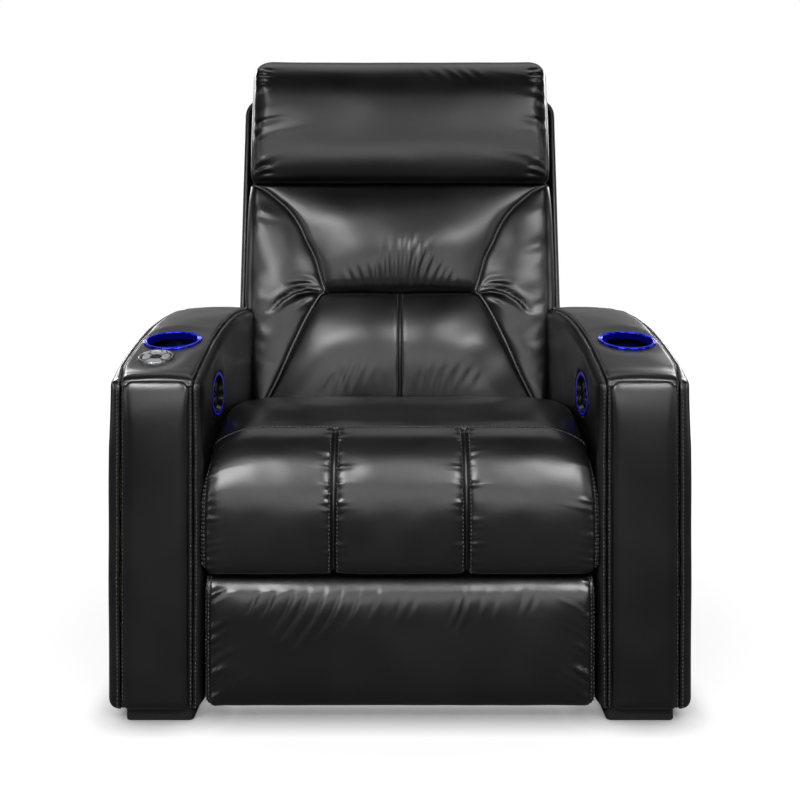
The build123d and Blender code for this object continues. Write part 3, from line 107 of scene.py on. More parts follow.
def bare(name):
    """New material: its empty node tree, and the piece's own coordinates in metres."""
    material = bpy.data.materials.new(name)
    material.use_nodes = True
    tree = material.node_tree
    tree.nodes.clear()
    return material, tree, part(tree, "ShaderNodeTexCoord").outputs["Object"]


# White paper sweep. To the camera it glows white, with painted shade: a thin contact shadow under the seat
# from an occlusion test, and a glow painted a little weaker near the seat, from 0.88 at 0.55 m from the
# middle to 1.05 at 1.1 m. A little of it is lit, so that the soft shadow of the seat stays. The leather
# mirrors it as the grey that a sweep in open shade has.
paper, tree, where = bare("white_paper_sweep")
lit = part(tree, "ShaderNodeBsdfDiffuse", {"Color": tone("#5c5c5c")})
# Painted shade: occlusion within 55 mm and nearness to the middle weaken the white glow.
painted_contact_shadow = part(tree, "ShaderNodeAmbientOcclusion", {"Color": tone("#ffffff"), "Distance": 0.055}, samples=12)
out = part(tree, "ShaderNodeVectorMath", {0: where}, operation="LENGTH")
fade = part(tree, "ShaderNodeMapRange", {
    "Value": out.outputs["Value"], "From Min": 0.55, "From Max": 1.1, "To Min": 0.88, "To Max": 1.05})
power = part(tree, "ShaderNodeMath", {0: painted_contact_shadow.outputs["AO"], 1: fade}, operation="MULTIPLY")
glow = part(tree, "ShaderNodeEmission", {"Color": tone("#ffffff"), "Strength": power})
both = part(tree, "ShaderNodeAddShader", {0: glow, 1: lit})
seen = part(tree, "ShaderNodeLightPath")
pick = part(tree, "ShaderNodeMixShader", {0: seen.outputs["Is Camera Ray"], 1: lit, 2: both})
part(tree, "ShaderNodeOutputMaterial", {"Surface": pick})
sheet = bpy.data.meshes.new("floor")
sheet.from_pydata([(-9, -5, 0), (9, -5, 0), (9, 12, 0), (-9, 12, 0)], [], [(0, 1, 2, 3)])
sheet.materials.append(paper)
floor = bpy.data.objects.new("floor", sheet)
bpy.context.scene.collection.objects.link(floor)

# The room is dark but for the white wall behind the seat, which gloss and metal mirror. The camera
# sees white all round.
world = bpy.data.worlds.new("white_studio")
world.use_nodes = True
tree = world.node_tree
tree.nodes.clear()
seen = part(tree, "ShaderNodeLightPath")
way = part(tree, "ShaderNodeTexCoord")
axes = part(tree, "ShaderNodeSeparateXYZ", {0: way.outputs["Generated"]})
wall = part(tree, "ShaderNodeMapRange", {
    "Value": axes.outputs["Y"], "From Min": 0.45, "From Max": 0.9, "To Max": 0.3})
gloss = part(tree, "ShaderNodeMath", {0: seen.outputs["Is Glossy Ray"], 1: wall}, operation="MULTIPLY")
clear = part(tree, "ShaderNodeMath", {
    0: seen.outputs["Is Camera Ray"], 1: seen.outputs["Is Transmission Ray"]}, operation="MAXIMUM")
share = part(tree, "ShaderNodeMath", {0: clear, 1: gloss}, operation="MAXIMUM")
room = part(tree, "ShaderNodeBackground", {"Color": tone("#ffffff"), "Strength": 0.015})
white = part(tree, "ShaderNodeBackground", {"Color": tone("#ffffff"), "Strength": 1.0})
pick = part(tree, "ShaderNodeMixShader", {0: share, 1: room, 2: white})
part(tree, "ShaderNodeOutputWorld", {"Surface": pick})
bpy.context.scene.world = world


# ---- Steel base, gear motors and linkage -------------------------------------------------------
# Square tube and laser-cut plate, powder-coated black, bolted under the seat; links are stamped
# and zinc plated, with riveted pins. Their CAD shapes are right and keep their places.

NOISE_LOW, NOISE_HIGH = 0.35, 0.65      # the range that a noise texture fills, stretched to 0 to 1


def coated_steel(name, dark, light, rough):
    """Powder coat: a hard satin film with the fine dimples of orange peel, 1.5 mm apart, that is a
    little duller in patches 90 mm wide."""
    material, tree, where = bare(name)
    peel = part(tree, "ShaderNodeTexNoise", {"Vector": where, "Scale": 1000 / 1.5, "Detail": 2.0})
    dimples = part(tree, "ShaderNodeBump", {"Height": peel, "Distance": 0.06 / 1000})
    cloud = part(tree, "ShaderNodeTexNoise", {"Vector": where, "Scale": 1000 / 90, "Detail": 3.0})
    patches_and_glints = part(tree, "ShaderNodeMapRange", {"Value": cloud, "From Min": NOISE_LOW, "From Max": NOISE_HIGH})
    dull = part(tree, "ShaderNodeMapRange", {"Value": patches_and_glints, "To Min": rough - 0.05, "To Max": rough + 0.07})
    hue = part(tree, "ShaderNodeMix", {"Factor": patches_and_glints, "A": tone(dark), "B": tone(light)}, data_type="RGBA")
    paint = part(tree, "ShaderNodeBsdfPrincipled", {
        "Base Color": hue.outputs["Result"], "Roughness": dull, "IOR": 1.5, "Normal": dimples})
    part(tree, "ShaderNodeOutputMaterial", {"Surface": paint})
    return material


def zinc_plate(name):
    """Bright zinc on stamped steel: metal clouded in patches 14 mm wide, with faint draw lines about
    1 mm apart along the part."""
    material, tree, where = bare(name)
    drawn = part(tree, "ShaderNodeMapping", {"Vector": where, "Scale": (1.0, 0.05, 1.0)})
    lines = part(tree, "ShaderNodeTexNoise", {"Vector": drawn, "Scale": 900.0, "Detail": 3.0})
    scratch = part(tree, "ShaderNodeBump", {"Height": lines, "Distance": 0.05 / 1000, "Strength": 0.6})
    cloud = part(tree, "ShaderNodeTexNoise", {"Vector": where, "Scale": 1000 / 14, "Detail": 4.0})
    patches_and_glints = part(tree, "ShaderNodeMapRange", {"Value": cloud, "From Min": NOISE_LOW, "From Max": NOISE_HIGH})
    dull = part(tree, "ShaderNodeMapRange", {"Value": patches_and_glints, "To Min": 0.28, "To Max": 0.45})
    hue = part(tree, "ShaderNodeMix", {
        "Factor": patches_and_glints, "A": tone("#9c9fa1"), "B": tone("#c6c8c9")}, data_type="RGBA")
    metal = part(tree, "ShaderNodeBsdfPrincipled", {
        "Base Color": hue.outputs["Result"], "Metallic": 1.0, "Roughness": dull, "Normal": scratch})
    part(tree, "ShaderNodeOutputMaterial", {"Surface": metal})
    return material


def moulded_plastic(name, dark, light, rough, grain_mm, deep_mm):
    """Injection-moulded plastic: even colour, clouded 60 mm wide, under a spark-eroded texture."""
    material, tree, where = bare(name)
    spark = part(tree, "ShaderNodeTexNoise", {
        "Vector": where, "Scale": 1000 / grain_mm, "Detail": 3.0, "Roughness": 0.6})
    skin = part(tree, "ShaderNodeBump", {"Height": spark, "Distance": deep_mm / 1000})
    dull = part(tree, "ShaderNodeMapRange", {
        "Value": spark, "From Min": NOISE_LOW, "From Max": NOISE_HIGH,
        "To Min": rough - 0.05, "To Max": rough + 0.05})
    cloud = part(tree, "ShaderNodeTexNoise", {"Vector": where, "Scale": 1000 / 60, "Detail": 2.0})
    patches_and_glints = part(tree, "ShaderNodeMapRange", {"Value": cloud, "From Min": NOISE_LOW, "From Max": NOISE_HIGH})
    hue = part(tree, "ShaderNodeMix", {"Factor": patches_and_glints, "A": tone(dark), "B": tone(light)}, data_type="RGBA")
    body = part(tree, "ShaderNodeBsdfPrincipled", {
        "Base Color": hue.outputs["Result"], "Roughness": dull, "IOR": 1.5, "Normal": skin})
    part(tree, "ShaderNodeOutputMaterial", {"Surface": body})
    return material


def dress(material, *names):
    """Gives CAD nodes a material."""
    for name in names:
        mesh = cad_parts[name].data
        mesh.materials.clear()
        mesh.materials.append(material)


def pair(*names):
    """Left and right names of nodes that come in pairs."""
    return [f"{name}_{side}" for name in names for side in ("left", "right")]


powder_coat = coated_steel("black_powder_coated_steel", "#151516", "#1f1f21", 0.42)
zinc = zinc_plate("zinc_plated_steel")
motor_paint = coated_steel("grey_painted_gearbox_casting", "#2b2c2e", "#3a3b3d", 0.5)
box_plastic = moulded_plastic("black_abs_housing", "#131314", "#1c1c1d", 0.5, 0.9, 0.05)
dress(powder_coat, *pair("base_rail", "side_plate"), "cross_tubes", "back_frame")
dress(zinc, "base_bolts", "legrest_drive", "carrier_links", "idler_links", "toggle_links",
      "legrest_brackets", "recline_shaft")
dress(motor_paint, "legrest_motor", "recline_motor")
dress(box_plastic, "power_box")


# ---- Wooden frames and webbing -----------------------------------------------------------------
# Birch plywood boxes inside the arms, the seat frame and the board behind the legrest.
# Polypropylene webbing is stapled across the seat and the back.

def birch_ply(name):
    """Birch plywood: pale peeled veneer with a long soft figure 9 mm wide and fine pores along it."""
    material, tree, where = bare(name)
    laid = part(tree, "ShaderNodeMapping", {"Vector": where, "Scale": (0.12, 1.0, 1.0)})
    figure = part(tree, "ShaderNodeTexNoise", {
        "Vector": laid, "Scale": 1000 / 9, "Detail": 4.0, "Distortion": 0.6})
    tint = part(tree, "ShaderNodeMapRange", {"Value": figure, "From Min": NOISE_LOW, "From Max": NOISE_HIGH})
    hue = part(tree, "ShaderNodeMix", {
        "Factor": tint, "A": tone("#b58f5f"), "B": tone("#d9bb8a")}, data_type="RGBA")
    pores = part(tree, "ShaderNodeTexNoise", {"Vector": laid, "Scale": 1000 / 1.2, "Detail": 2.0})
    grain = part(tree, "ShaderNodeBump", {"Height": pores, "Distance": 0.08 / 1000})
    wood = part(tree, "ShaderNodeBsdfPrincipled", {
        "Base Color": hue.outputs["Result"], "Roughness": 0.62, "Normal": grain})
    part(tree, "ShaderNodeOutputMaterial", {"Surface": wood})
    return material


def woven_webbing(name):
    """Flat woven polypropylene: a plain weave of 2 mm tapes, black with a slight sheen. A wave's
    period is one unit of its scale over 2 pi."""
    material, tree, where = bare(name)
    laid = {"Vector": where, "Scale": 1000 / 2.0 / 6.283}
    warp = part(tree, "ShaderNodeTexWave", laid, bands_direction="X")
    weft = part(tree, "ShaderNodeTexWave", laid, bands_direction="Z")
    cross = part(tree, "ShaderNodeMath", {
        0: warp.outputs["Fac"], 1: weft.outputs["Fac"]}, operation="MULTIPLY")
    cloth = part(tree, "ShaderNodeBump", {"Height": cross, "Distance": 0.5 / 1000})
    hue = part(tree, "ShaderNodeMix", {
        "Factor": cross, "A": tone("#0c0c0c"), "B": tone("#232323")}, data_type="RGBA")
    tape = part(tree, "ShaderNodeBsdfPrincipled", {
        "Base Color": hue.outputs["Result"], "Roughness": 0.6, "Sheen Weight": 0.2, "Normal": cloth})
    part(tree, "ShaderNodeOutputMaterial", {"Surface": tape})
    return material


dress(birch_ply("birch_plywood"), *pair("arm_frame"), "seat_frame", "legrest_board")
dress(woven_webbing("woven_polypropylene_webbing"), "seat_webbing", "back_webbing")


# ---- Leather -----------------------------------------------------------------------------------
# Black pigmented cowhide, embossed with a fine smooth grain and sealed with a satin lacquer. The
# eye gets broad soft highlights, a faint pebble close up and slightly duller, stretched patches.

def cowhide(name, dark, light, rough):
    """Pebbles 2.2 mm apart, drawn a little coarser than the real 1 mm so that they show, with pores
    0.9 mm apart, over a shallow 16 mm unevenness; the roughness wanders over 120 mm."""
    material, tree, where = bare(name)
    hide = part(tree, "ShaderNodeTexNoise", {
        "Vector": where, "Scale": 1000 / 16, "Detail": 3.0, "Roughness": 0.55})
    pebble = part(tree, "ShaderNodeTexVoronoi", {
        "Vector": where, "Scale": 1000 / 2.2, "Randomness": 0.9}, feature="SMOOTH_F1")
    pores = part(tree, "ShaderNodeTexNoise", {"Vector": where, "Scale": 1000 / 0.9, "Detail": 2.0})
    waves = part(tree, "ShaderNodeBump", {"Height": hide, "Distance": 0.3 / 1000, "Strength": 0.6})
    grain = part(tree, "ShaderNodeBump", {
        "Height": pebble, "Distance": 0.16 / 1000, "Strength": 0.6, "Normal": waves})
    fine = part(tree, "ShaderNodeBump", {
        "Height": pores, "Distance": 0.03 / 1000, "Strength": 0.5, "Normal": grain})
    broad = part(tree, "ShaderNodeTexNoise", {"Vector": where, "Scale": 1000 / 120, "Detail": 3.0})
    patches_and_glints = part(tree, "ShaderNodeMapRange", {"Value": broad, "From Min": NOISE_LOW, "From Max": NOISE_HIGH})
    dull = part(tree, "ShaderNodeMapRange", {"Value": patches_and_glints, "To Min": rough - 0.03, "To Max": rough + 0.05})
    hue = part(tree, "ShaderNodeMix", {"Factor": patches_and_glints, "A": tone(dark), "B": tone(light)}, data_type="RGBA")
    skin = part(tree, "ShaderNodeBsdfPrincipled", {
        "Base Color": hue.outputs["Result"], "Roughness": dull, "IOR": 1.5, "Coat Weight": 0.35,
        "Coat Roughness": 0.26, "Normal": fine})
    part(tree, "ShaderNodeOutputMaterial", {"Surface": skin})
    return material


hide_black = cowhide("black_pigmented_cowhide", "#080808", "#0c0c0c", 0.34)


def thread_material(name):
    """Bonded polyester sewing thread, black but drawn grey so that it shows, with a painted shine: lighter
    bands along its twist of 0.8 mm.
    """
    material, tree, where = bare(name)
    twist_and_sheen = part(tree, "ShaderNodeTexWave", {"Vector": where, "Scale": 1000 / 0.8}).outputs["Fac"]
    turn = part(tree, "ShaderNodeBump", {"Height": twist_and_sheen, "Distance": 0.1 / 1000})
    # Painted sheen: the colour is lighter on the crests of the twist.
    hue = part(tree, "ShaderNodeMix", {
        "Factor": twist_and_sheen, "A": tone("#2c2c2c"), "B": tone("#585858")}, data_type="RGBA")
    strand = part(tree, "ShaderNodeBsdfPrincipled", {
        "Base Color": hue.outputs["Result"], "Roughness": 0.42, "Normal": turn})
    part(tree, "ShaderNodeOutputMaterial", {"Surface": strand})
    return material


thread = thread_material("black_bonded_thread")


def solid(name, points, faces, material=hide_black):
    """Mesh object from points in millimetres and faces; turned so that its faces point outwards."""
    mesh = bpy.data.meshes.new(name)
    mesh.from_pydata((np.asarray(points).reshape(-1, 3) / 1000).tolist(), [], faces)
    mesh.materials.append(material)
    work = bmesh.new()
    work.from_mesh(mesh)
    bmesh.ops.remove_doubles(work, verts=work.verts, dist=2e-6)
    bmesh.ops.recalc_face_normals(work, faces=work.faces)
    if work.calc_volume(signed=True) < 0:
        bmesh.ops.reverse_faces(work, faces=work.faces)
    work.to_mesh(mesh)
    work.free()
    mesh.polygons.foreach_set("use_smooth", np.ones(len(mesh.polygons), bool))
    made = bpy.data.objects.new(name, mesh)
    bpy.context.scene.collection.objects.link(made)
    return made


def weave(rows, columns, wrap=False, start=0):
    """Four-sided faces of a grid of points stored row by row; wrap joins the last column to the first."""
    across = columns if wrap else columns - 1
    i, j = np.meshgrid(np.arange(rows - 1), np.arange(across), indexing="ij")
    k = (j + 1) % columns
    quads = np.stack([i * columns + j, i * columns + k, (i + 1) * columns + k, (i + 1) * columns + j], -1)
    return (quads.reshape(-1, 4) + start).tolist()


def steps(points, axis=0):
    """Lengths of the steps between neighbouring points of a chain or grid."""
    return np.linalg.norm(np.diff(points, axis=axis), axis=-1)


def unit(vectors):
    """Vectors brought to length one."""
    return vectors / np.maximum(np.linalg.norm(vectors, axis=-1, keepdims=True), 1e-9)


def along(points, count=None, where=None):
    """Points at even steps, or at the given shares, of a chain's length."""
    points = np.asarray(points, float)
    gone = np.r_[0, np.cumsum(steps(points))]
    at = (np.linspace(0, 1, count) if where is None else np.asarray(where)) * gone[-1]
    return np.stack([np.interp(at, gone, points[:, k]) for k in range(points.shape[1])], -1)


def bend(points, count=16):
    """Smooth curve through points: Catmull-Rom, each span a cubic whose end slopes are half the
    chord between its neighbours."""
    p = np.asarray(points, float)
    p = np.vstack([2 * p[0] - p[1], p, 2 * p[-1] - p[-2]])
    t = np.linspace(0, 1, count, endpoint=False)[:, None]
    spans = [b + 0.5 * ((c - a) * t + (2 * a - 5 * b + 4 * c - d) * t**2 + (3 * b - a - 3 * c + d) * t**3)
             for a, b, c, d in zip(p, p[1:], p[2:], p[3:])]
    return np.vstack([*spans, p[-2:-1]])


def shares(length, step, spots=(), fine=2.0, wide=14.0):
    """Shares 0 to 1 of a length: steps apart, closing up to fine steps within wide of each spot."""
    s = np.linspace(0, length, 2000)
    near = np.min([np.abs(s - spot) for spot in (0, length, *spots)], axis=0)
    gap = fine + (step - fine) * np.clip(near / wide, 0, 1)
    count = np.r_[0, np.cumsum(np.diff(s) / gap[1:])]
    return np.interp(np.linspace(0, count[-1], int(count[-1]) + 1), count, s) / length


def patch(low, right, high, left, s, t):
    """Coons patch on shares s across and t up: the curves low and high blended up the panel, plus
    left and right blended across it, less the blend of the four corners."""
    low, high = along(low, where=s), along(high, where=s)
    left, right = along(left, where=t), along(right, where=t)
    u, v = s[None, :, None], t[:, None, None]
    corners = (1 - u) * (1 - v) * low[0] + u * (1 - v) * low[-1] + (1 - u) * v * high[0] + u * v * high[-1]
    return (1 - v) * low[None] + v * high[None] + (1 - u) * left[:, None] + u * right[:, None] - corners


def margins(face):
    """Distance of every grid point from the left, right, low and high edge, along the grid lines."""
    left = np.c_[np.zeros(len(face)), np.cumsum(steps(face, 1), 1)]
    low = np.r_[np.zeros((1, face.shape[1])), np.cumsum(steps(face, 0), 0)]
    return left, left[:, -1:] - left, low, low[-1:] - low


def rolled(away, roll, drop):
    """Depth below the crest near an edge: a quarter ellipse, drop deep at the edge and roll wide."""
    return drop * (1 - np.sqrt(1 - (1 - np.clip(away / roll, 0, 1)) ** 2))


def crown(edges, rolls, drops, power=2.5):
    """Height of a stuffed panel below its crest: its four edge rolls joined by a p-norm."""
    return -sum(rolled(a, r, d) ** power for a, r, d in zip(edges, rolls, drops)) ** (1 / power)


def normals(face):
    """Unit normals of a grid: the cross product of its two gradients."""
    return unit(np.cross(np.gradient(face, axis=1), np.gradient(face, axis=0)))


def lifted(base, height, out):
    """A grid raised by a height along its own normals, on the side that faces out."""
    n = normals(base)
    if np.sum(n * np.asarray(out)) < 0:
        n = -n
    return base + n * height[..., None]


def ripple(at, pitch, seed):
    """Uneven wave between 0 and 1 along a seam: smoothed random heights, pitch apart."""
    rng = np.random.default_rng(seed)
    knots = np.arange(-400, 1600, pitch)
    knots = knots + rng.uniform(-0.3, 0.3, len(knots)) * pitch
    heights = rng.uniform(0, 1, len(knots))
    heights[::2] *= 0.25
    k = np.clip(np.searchsorted(knots, at) - 1, 0, len(knots) - 2)
    t = np.clip((at - knots[k]) / (knots[k + 1] - knots[k]), 0, 1)
    return heights[k] + (heights[k + 1] - heights[k]) * (3 * t**2 - 2 * t**3)


def gathers(at, away, pitch, height, reach, seed, slant=0.0):
    """Small folds running off a seam where leather is gathered into it: an uneven wave along the
    seam that dies away from it, each fold to a length of its own."""
    away = np.maximum(away, 0)
    wave = ripple(at + slant * away, pitch, seed)
    length = reach * (0.35 + 1.1 * ripple(at, pitch * 2.3, seed + 50))
    return height * wave * np.exp(-((away / length) ** 1.4)) * (1 - np.exp(-away / 1.6))


def crease(a, b, line, width, depth, ridge=0.8):
    """A fold: a valley along a chain of points, Gaussian across, with a softer ridge on its left
    side; it fades to nothing at both ends."""
    line = np.asarray(line, float)
    lengths = steps(line)
    total, gone = lengths.sum(), 0.0
    best, side, share = np.full(a.shape, 1e9), np.zeros(a.shape), np.zeros(a.shape)
    for (x0, y0), (x1, y1), step in zip(line, line[1:], lengths):
        ux, uy = (x1 - x0) / step, (y1 - y0) / step
        t = np.clip((a - x0) * ux + (b - y0) * uy, 0, step)
        off = np.hypot(a - x0 - t * ux, b - y0 - t * uy)
        near = off < best
        cross = (b - y0) * ux - (a - x0) * uy
        best, side = np.where(near, off, best), np.where(near, cross, side)
        share = np.where(near, (gone + t) / total, share)
        gone += step
    fade = np.clip(np.sin(np.pi * np.clip(share, 0.02, 0.98)), 0, 1) ** 0.7
    signed = best * np.sign(side)
    valley = -np.exp(-((signed / width) ** 2))
    bank = ridge * np.exp(-(((signed - 2.0 * width) / (1.5 * width)) ** 2))
    return depth * fade * (valley + bank)


def fan(a, b, foot, folds, width, bow=0.4):
    """Creases that start on the line b = foot: each from its place by a lean and a reach, and bowed,
    with a share bow of its lean at half its reach."""
    total = np.zeros(np.shape(a))
    for start, lean, reach, depth in folds:
        line = [(start, foot), (start + bow * lean, foot + 0.5 * reach), (start + lean, foot + reach)]
        total += crease(a, b, line, width, depth)
    return total


def rumple(a, b, size, height, seed):
    """Soft unevenness: ten plane waves in random directions, about size long."""
    rng = np.random.default_rng(seed)
    total = np.zeros(np.shape(a))
    turns, longs, phases = rng.uniform(0, np.pi, 10), rng.uniform(0.6, 1.8, 10), rng.uniform(0, 6.28, 10)
    for turn, long, phase in zip(turns, longs, phases):
        total += np.sin((a * np.cos(turn) + b * np.sin(turn)) * 6.283 / (size * long) + phase)
    return height * total / 3.2


def stuffed(name, face, deep, bulge=0.0):
    """Closed cushion: the face, a side wall that leaves its rim along deep and bulges slightly,
    and a rear in rings that shrink towards the middle."""
    rows, columns = face.shape[:2]
    grid = np.arange(rows * columns).reshape(rows, columns)
    loop = np.r_[grid[0], grid[1:, -1], grid[-1, -2::-1], grid[-2:0:-1, 0]]
    rim = face.reshape(-1, 3)[loop]
    deep = np.asarray(deep, float)
    middle = rim.mean(0)
    away = rim - middle
    away = unit(away - np.outer(away @ deep, deep) / (deep @ deep))
    rings = [rim + deep * share + away * bulge * math.sin(math.pi * share)
             for share in (0.2, 0.45, 0.7, 0.9, 1.0)]
    centre = middle + deep
    rings += [centre + (rings[4] - centre) * share for share in (0.97, 0.75, 0.45, 0.2)]
    points = np.vstack([face.reshape(-1, 3), *rings, centre[None]])
    count, start = len(loop), rows * columns
    last = start + (len(rings) - 1) * count
    ring = np.arange(count)
    after = (ring + 1) % count
    faces = weave(rows, columns)
    faces += np.stack([loop, np.roll(loop, -1), start + after, start + ring], -1).tolist()
    faces += weave(len(rings), count, wrap=True, start=start)
    faces += np.stack([last + ring, last + after, np.full(count, len(points) - 1)], -1).tolist()
    return solid(name, points, faces)


def shell(name, face, thick, out):
    """Leather over a foam layer: a face grid, seen from the side that out points to, given a
    thickness behind it."""
    made = solid(name, face, weave(*face.shape[:2]))
    facing = np.empty(3 * len(made.data.polygons))
    made.data.polygons.foreach_get("normal", facing)
    if facing.reshape(-1, 3).sum(0) @ np.asarray(out, float) < 0:
        made.data.flip_normals()
    foam = made.modifiers.new("foam", "SOLIDIFY")
    foam.thickness, foam.offset = thick / 1000, -1.0
    return made


def fit(made, body, nodes=()):
    """Joins a piece to its body and hides the CAD nodes that it stands in for."""
    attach(made, body)
    if nodes:
        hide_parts(*nodes)
    return made


def row_at(face, side, away, out):
    """Line at a distance inside an edge of a face, with the face's normals along it, turned to the
    side that out points to."""
    if side in ("low", "high"):
        face = face.transpose(1, 0, 2)
    if side in ("right", "high"):
        face = face[:, ::-1]
    gone = np.c_[np.zeros(len(face)), np.cumsum(steps(face, 1), 1)]
    k = np.array([np.searchsorted(row, away) for row in gone]).clip(1, face.shape[1] - 1)
    i = np.arange(len(face))
    share = ((away - gone[i, k - 1]) / (gone[i, k] - gone[i, k - 1]))[:, None]
    n = normals(face)
    high = n[i, k - 1] * (1 - share) + n[i, k] * share
    high *= np.where(high @ np.asarray(out) < 0, -1, 1)[:, None]
    return face[i, k - 1] * (1 - share) + face[i, k] * share, high


THREAD_LONG, THREAD_THICK = 4.5, 0.95   # one stitch, drawn a little thicker than real so that it shows


def sew(name, body, lines, pitch=6.3):
    """Stitches along lines of (points, normals), as one piece: each a small six-sided spindle whose
    outline is an ellipse turned about the seam's direction, sunk at its ends."""
    ring = np.linspace(0, 2 * np.pi, 6, endpoint=False)[None, None, :, None]
    share = np.array([-1.0, -0.75, 0.0, 0.75, 1.0])
    girth = THREAD_THICK * np.array([0.15, 0.8, 1.0, 0.8, 0.15])[None, :, None, None]
    rise = THREAD_THICK * (0.45 - 0.8 * share**2)[None, :, None, None]
    one = np.array(weave(5, 6, wrap=True))
    caps = [np.arange(6)[::-1], np.arange(24, 30)]
    points, faces, start = [], [], 0
    for path, up in lines:
        gone = np.r_[0, np.cumsum(steps(path))]
        count = int(gone[-1] / pitch)
        at = (np.arange(count) + 0.5) * gone[-1] / count
        middle, ahead, behind, high = (
            np.stack([np.interp(at + shift, gone, values[:, k]) for k in range(3)], -1)
            for values, shift in ((path, 0.0), (path, 1.5), (path, -1.5), (up, 0.0)))
        lead = unit(ahead - behind)
        high = unit(high - lead * np.sum(high * lead, 1, keepdims=True))
        side = np.cross(lead, high)[:, None, None]
        lead, high = lead[:, None, None], high[:, None, None]
        spindle = middle[:, None, None] + lead * (share * THREAD_LONG / 2)[None, :, None, None]
        spindle = spindle + (high * np.cos(ring) + side * np.sin(ring)) * girth + high * rise
        points.append(spindle.reshape(-1, 3))
        for first in range(start, start + 30 * count, 30):
            faces += (one + first).tolist() + [(cap + first).tolist() for cap in caps]
        start += 30 * count
    return fit(solid(name, np.vstack(points), faces, thread), body)


# ---- Arms --------------------------------------------------------------------------------------
# A plywood box with foam and leather over it: an outer and an inner side pad, each rolled round to
# the front, one long strip over the arched top and down the front, and a raised front panel.
# The panels are sewn together with a double row of stitches.
ARM_IN, ARM_OUT = 312.0, 463.0
SEAM_IN, SEAM_OUT, SEAM_OUT_TOP = 326.5, 440.5, 451.5   # where the top strip meets the side pads
SEAM_SINK, NOSE_RADIUS = 1.5, 19.0      # how far the seams lie below the crest, and the nose's round
ARM_LENGTH, SOLE, ARM_TALL = 660.0, 21.0, 560.0
OUTER_SEAM, BORDER_TOP = 451.0, 534.0   # heights of the outer pad's seam and of the front border's top
PEAK, PEAK_Z, NOSE, NOSE_Z, REAR_Z = 450.0, 611.0, 18.0, 541.0, 603.0
CUP_AT, PAD_AT, SWITCH_AT = (395.0, 172.0), (405.0, 90.0), (154.0, 494.0)
SWITCH_TURN = math.radians(6)


def arch(depth):
    """Height of the arm's top: two circular arcs that meet level at the peak."""
    front = ((PEAK - NOSE) ** 2 + (PEAK_Z - NOSE_Z) ** 2) / (2 * (PEAK_Z - NOSE_Z))
    rear = ((ARM_LENGTH - PEAK) ** 2 + (PEAK_Z - REAR_Z) ** 2) / (2 * (PEAK_Z - REAR_Z))
    radius = np.where(depth < PEAK, front, rear)
    return PEAK_Z - radius + np.sqrt(radius**2 - (depth - PEAK) ** 2)


def seat_point(x, depth, z):
    """Point in the frame from its width, its depth behind the arm fronts and its height."""
    x, depth, z = np.broadcast_arrays(x, depth, z)
    return np.stack([x, FRONT_Y + depth, z], -1).astype(float)


def ease(value, start, end):
    """Smooth step from 0 at start to 1 at end."""
    t = np.clip((value - start) / (end - start), 0, 1)
    return t * t * (3 - 2 * t)


def nose_line():
    """Side view of an arm's front and top at the seams: up the front, round the nose, along the arch."""
    knee = float(arch(NOSE_RADIUS)) - SEAM_SINK - NOSE_RADIUS
    turn = np.linspace(0, math.pi / 2, 16)[1:-1]
    depth = np.linspace(NOSE_RADIUS, ARM_LENGTH, 80)
    rise = np.stack([np.zeros(60), np.linspace(SOLE, knee, 60)], -1)
    bow = np.stack([NOSE_RADIUS * (1 - np.cos(turn)), knee + NOSE_RADIUS * np.sin(turn)], -1)
    return rise, bow, np.stack([depth, arch(depth) - SEAM_SINK], -1)


def side_pad(side, plane, out, seams, seed):
    """Side pad over the arm's outline: plane is its crest, out points away from the arm, seams are
    how far it rolls in to the front and the top seam. The lower front corner and the nose are
    rounded more than the rest; the two roll shares meet at the nose in a smooth minimum."""
    rise, bow, top = nose_line()
    left = np.vstack([rise, bow[:7]])
    high = np.vstack([bow[6:], top])
    low = [(0.0, SOLE), (ARM_LENGTH, SOLE)]
    right = [(ARM_LENGTH, SOLE), (ARM_LENGTH, REAR_Z - SEAM_SINK)]
    s = shares(ARM_LENGTH, 9.0, fine=0.7, wide=30.0)
    t = shares(ARM_TALL, 8.0, spots=(OUTER_SEAM - SOLE,) if out > 0 else (), fine=0.7, wide=30.0)
    flat = patch(low, right, high, left, s, t)
    d, z = flat[..., 0], flat[..., 1]
    edges = margins(flat)
    nose = ease(z, 420.0, 530.0)
    foot = 1 - ease(d, 0.0, 45.0)
    deep = seams[0] + (seams[1] - seams[0]) * ease(d, 2.0, 70.0)
    front_roll = edges[0] / (seams[0] * 0.95 + 20.0 * nose)
    top_roll = edges[3] / (seams[1] * 0.9 + 12.0 * (1 - ease(d, 10.0, 130.0)))
    near = (np.maximum(front_roll, 1e-3) ** -8 + np.maximum(top_roll, 1e-3) ** -8) ** -0.125
    falls = (rolled(near, 1.0, deep), rolled(edges[1], 12.0, 8.0),
             rolled(edges[2], 6.0 + 10.0 * foot, 3.0 + 9.0 * foot))
    height = -sum(fall**2.6 for fall in falls) ** (1 / 2.6)
    height += 1.2 * (4 * (z - SOLE) * (ARM_TALL - z) / 540**2).clip(0, 1)
    if out > 0:                     # one seam runs along the outer pad, level with the arm's knee
        height -= 1.6 * np.exp(-(((z - OUTER_SEAM) / 2.2) ** 2)) * ease(edges[0], 4.0, 10.0)
    height += rumple(d, z, 130.0, 0.4, seed + 1)
    for away in (edges[0], edges[3]):
        height += gathers(d + z, away - 3.5, 6.3, 0.9, 6.0, seed) * ease(away, 2.5, 6.0)
    if out < 0:                     # the leather follows the side switch, which is turned inwards
        about = 1 - ease(np.hypot(d - SWITCH_AT[0], z - SWITCH_AT[1]), 41.0, 74.0)
        height += ((d - SWITCH_AT[0]) * math.tan(SWITCH_TURN) - 0.9 - height) * about
    return lifted(seat_point(side * plane, d, z), height, (side * out, 0, 0))


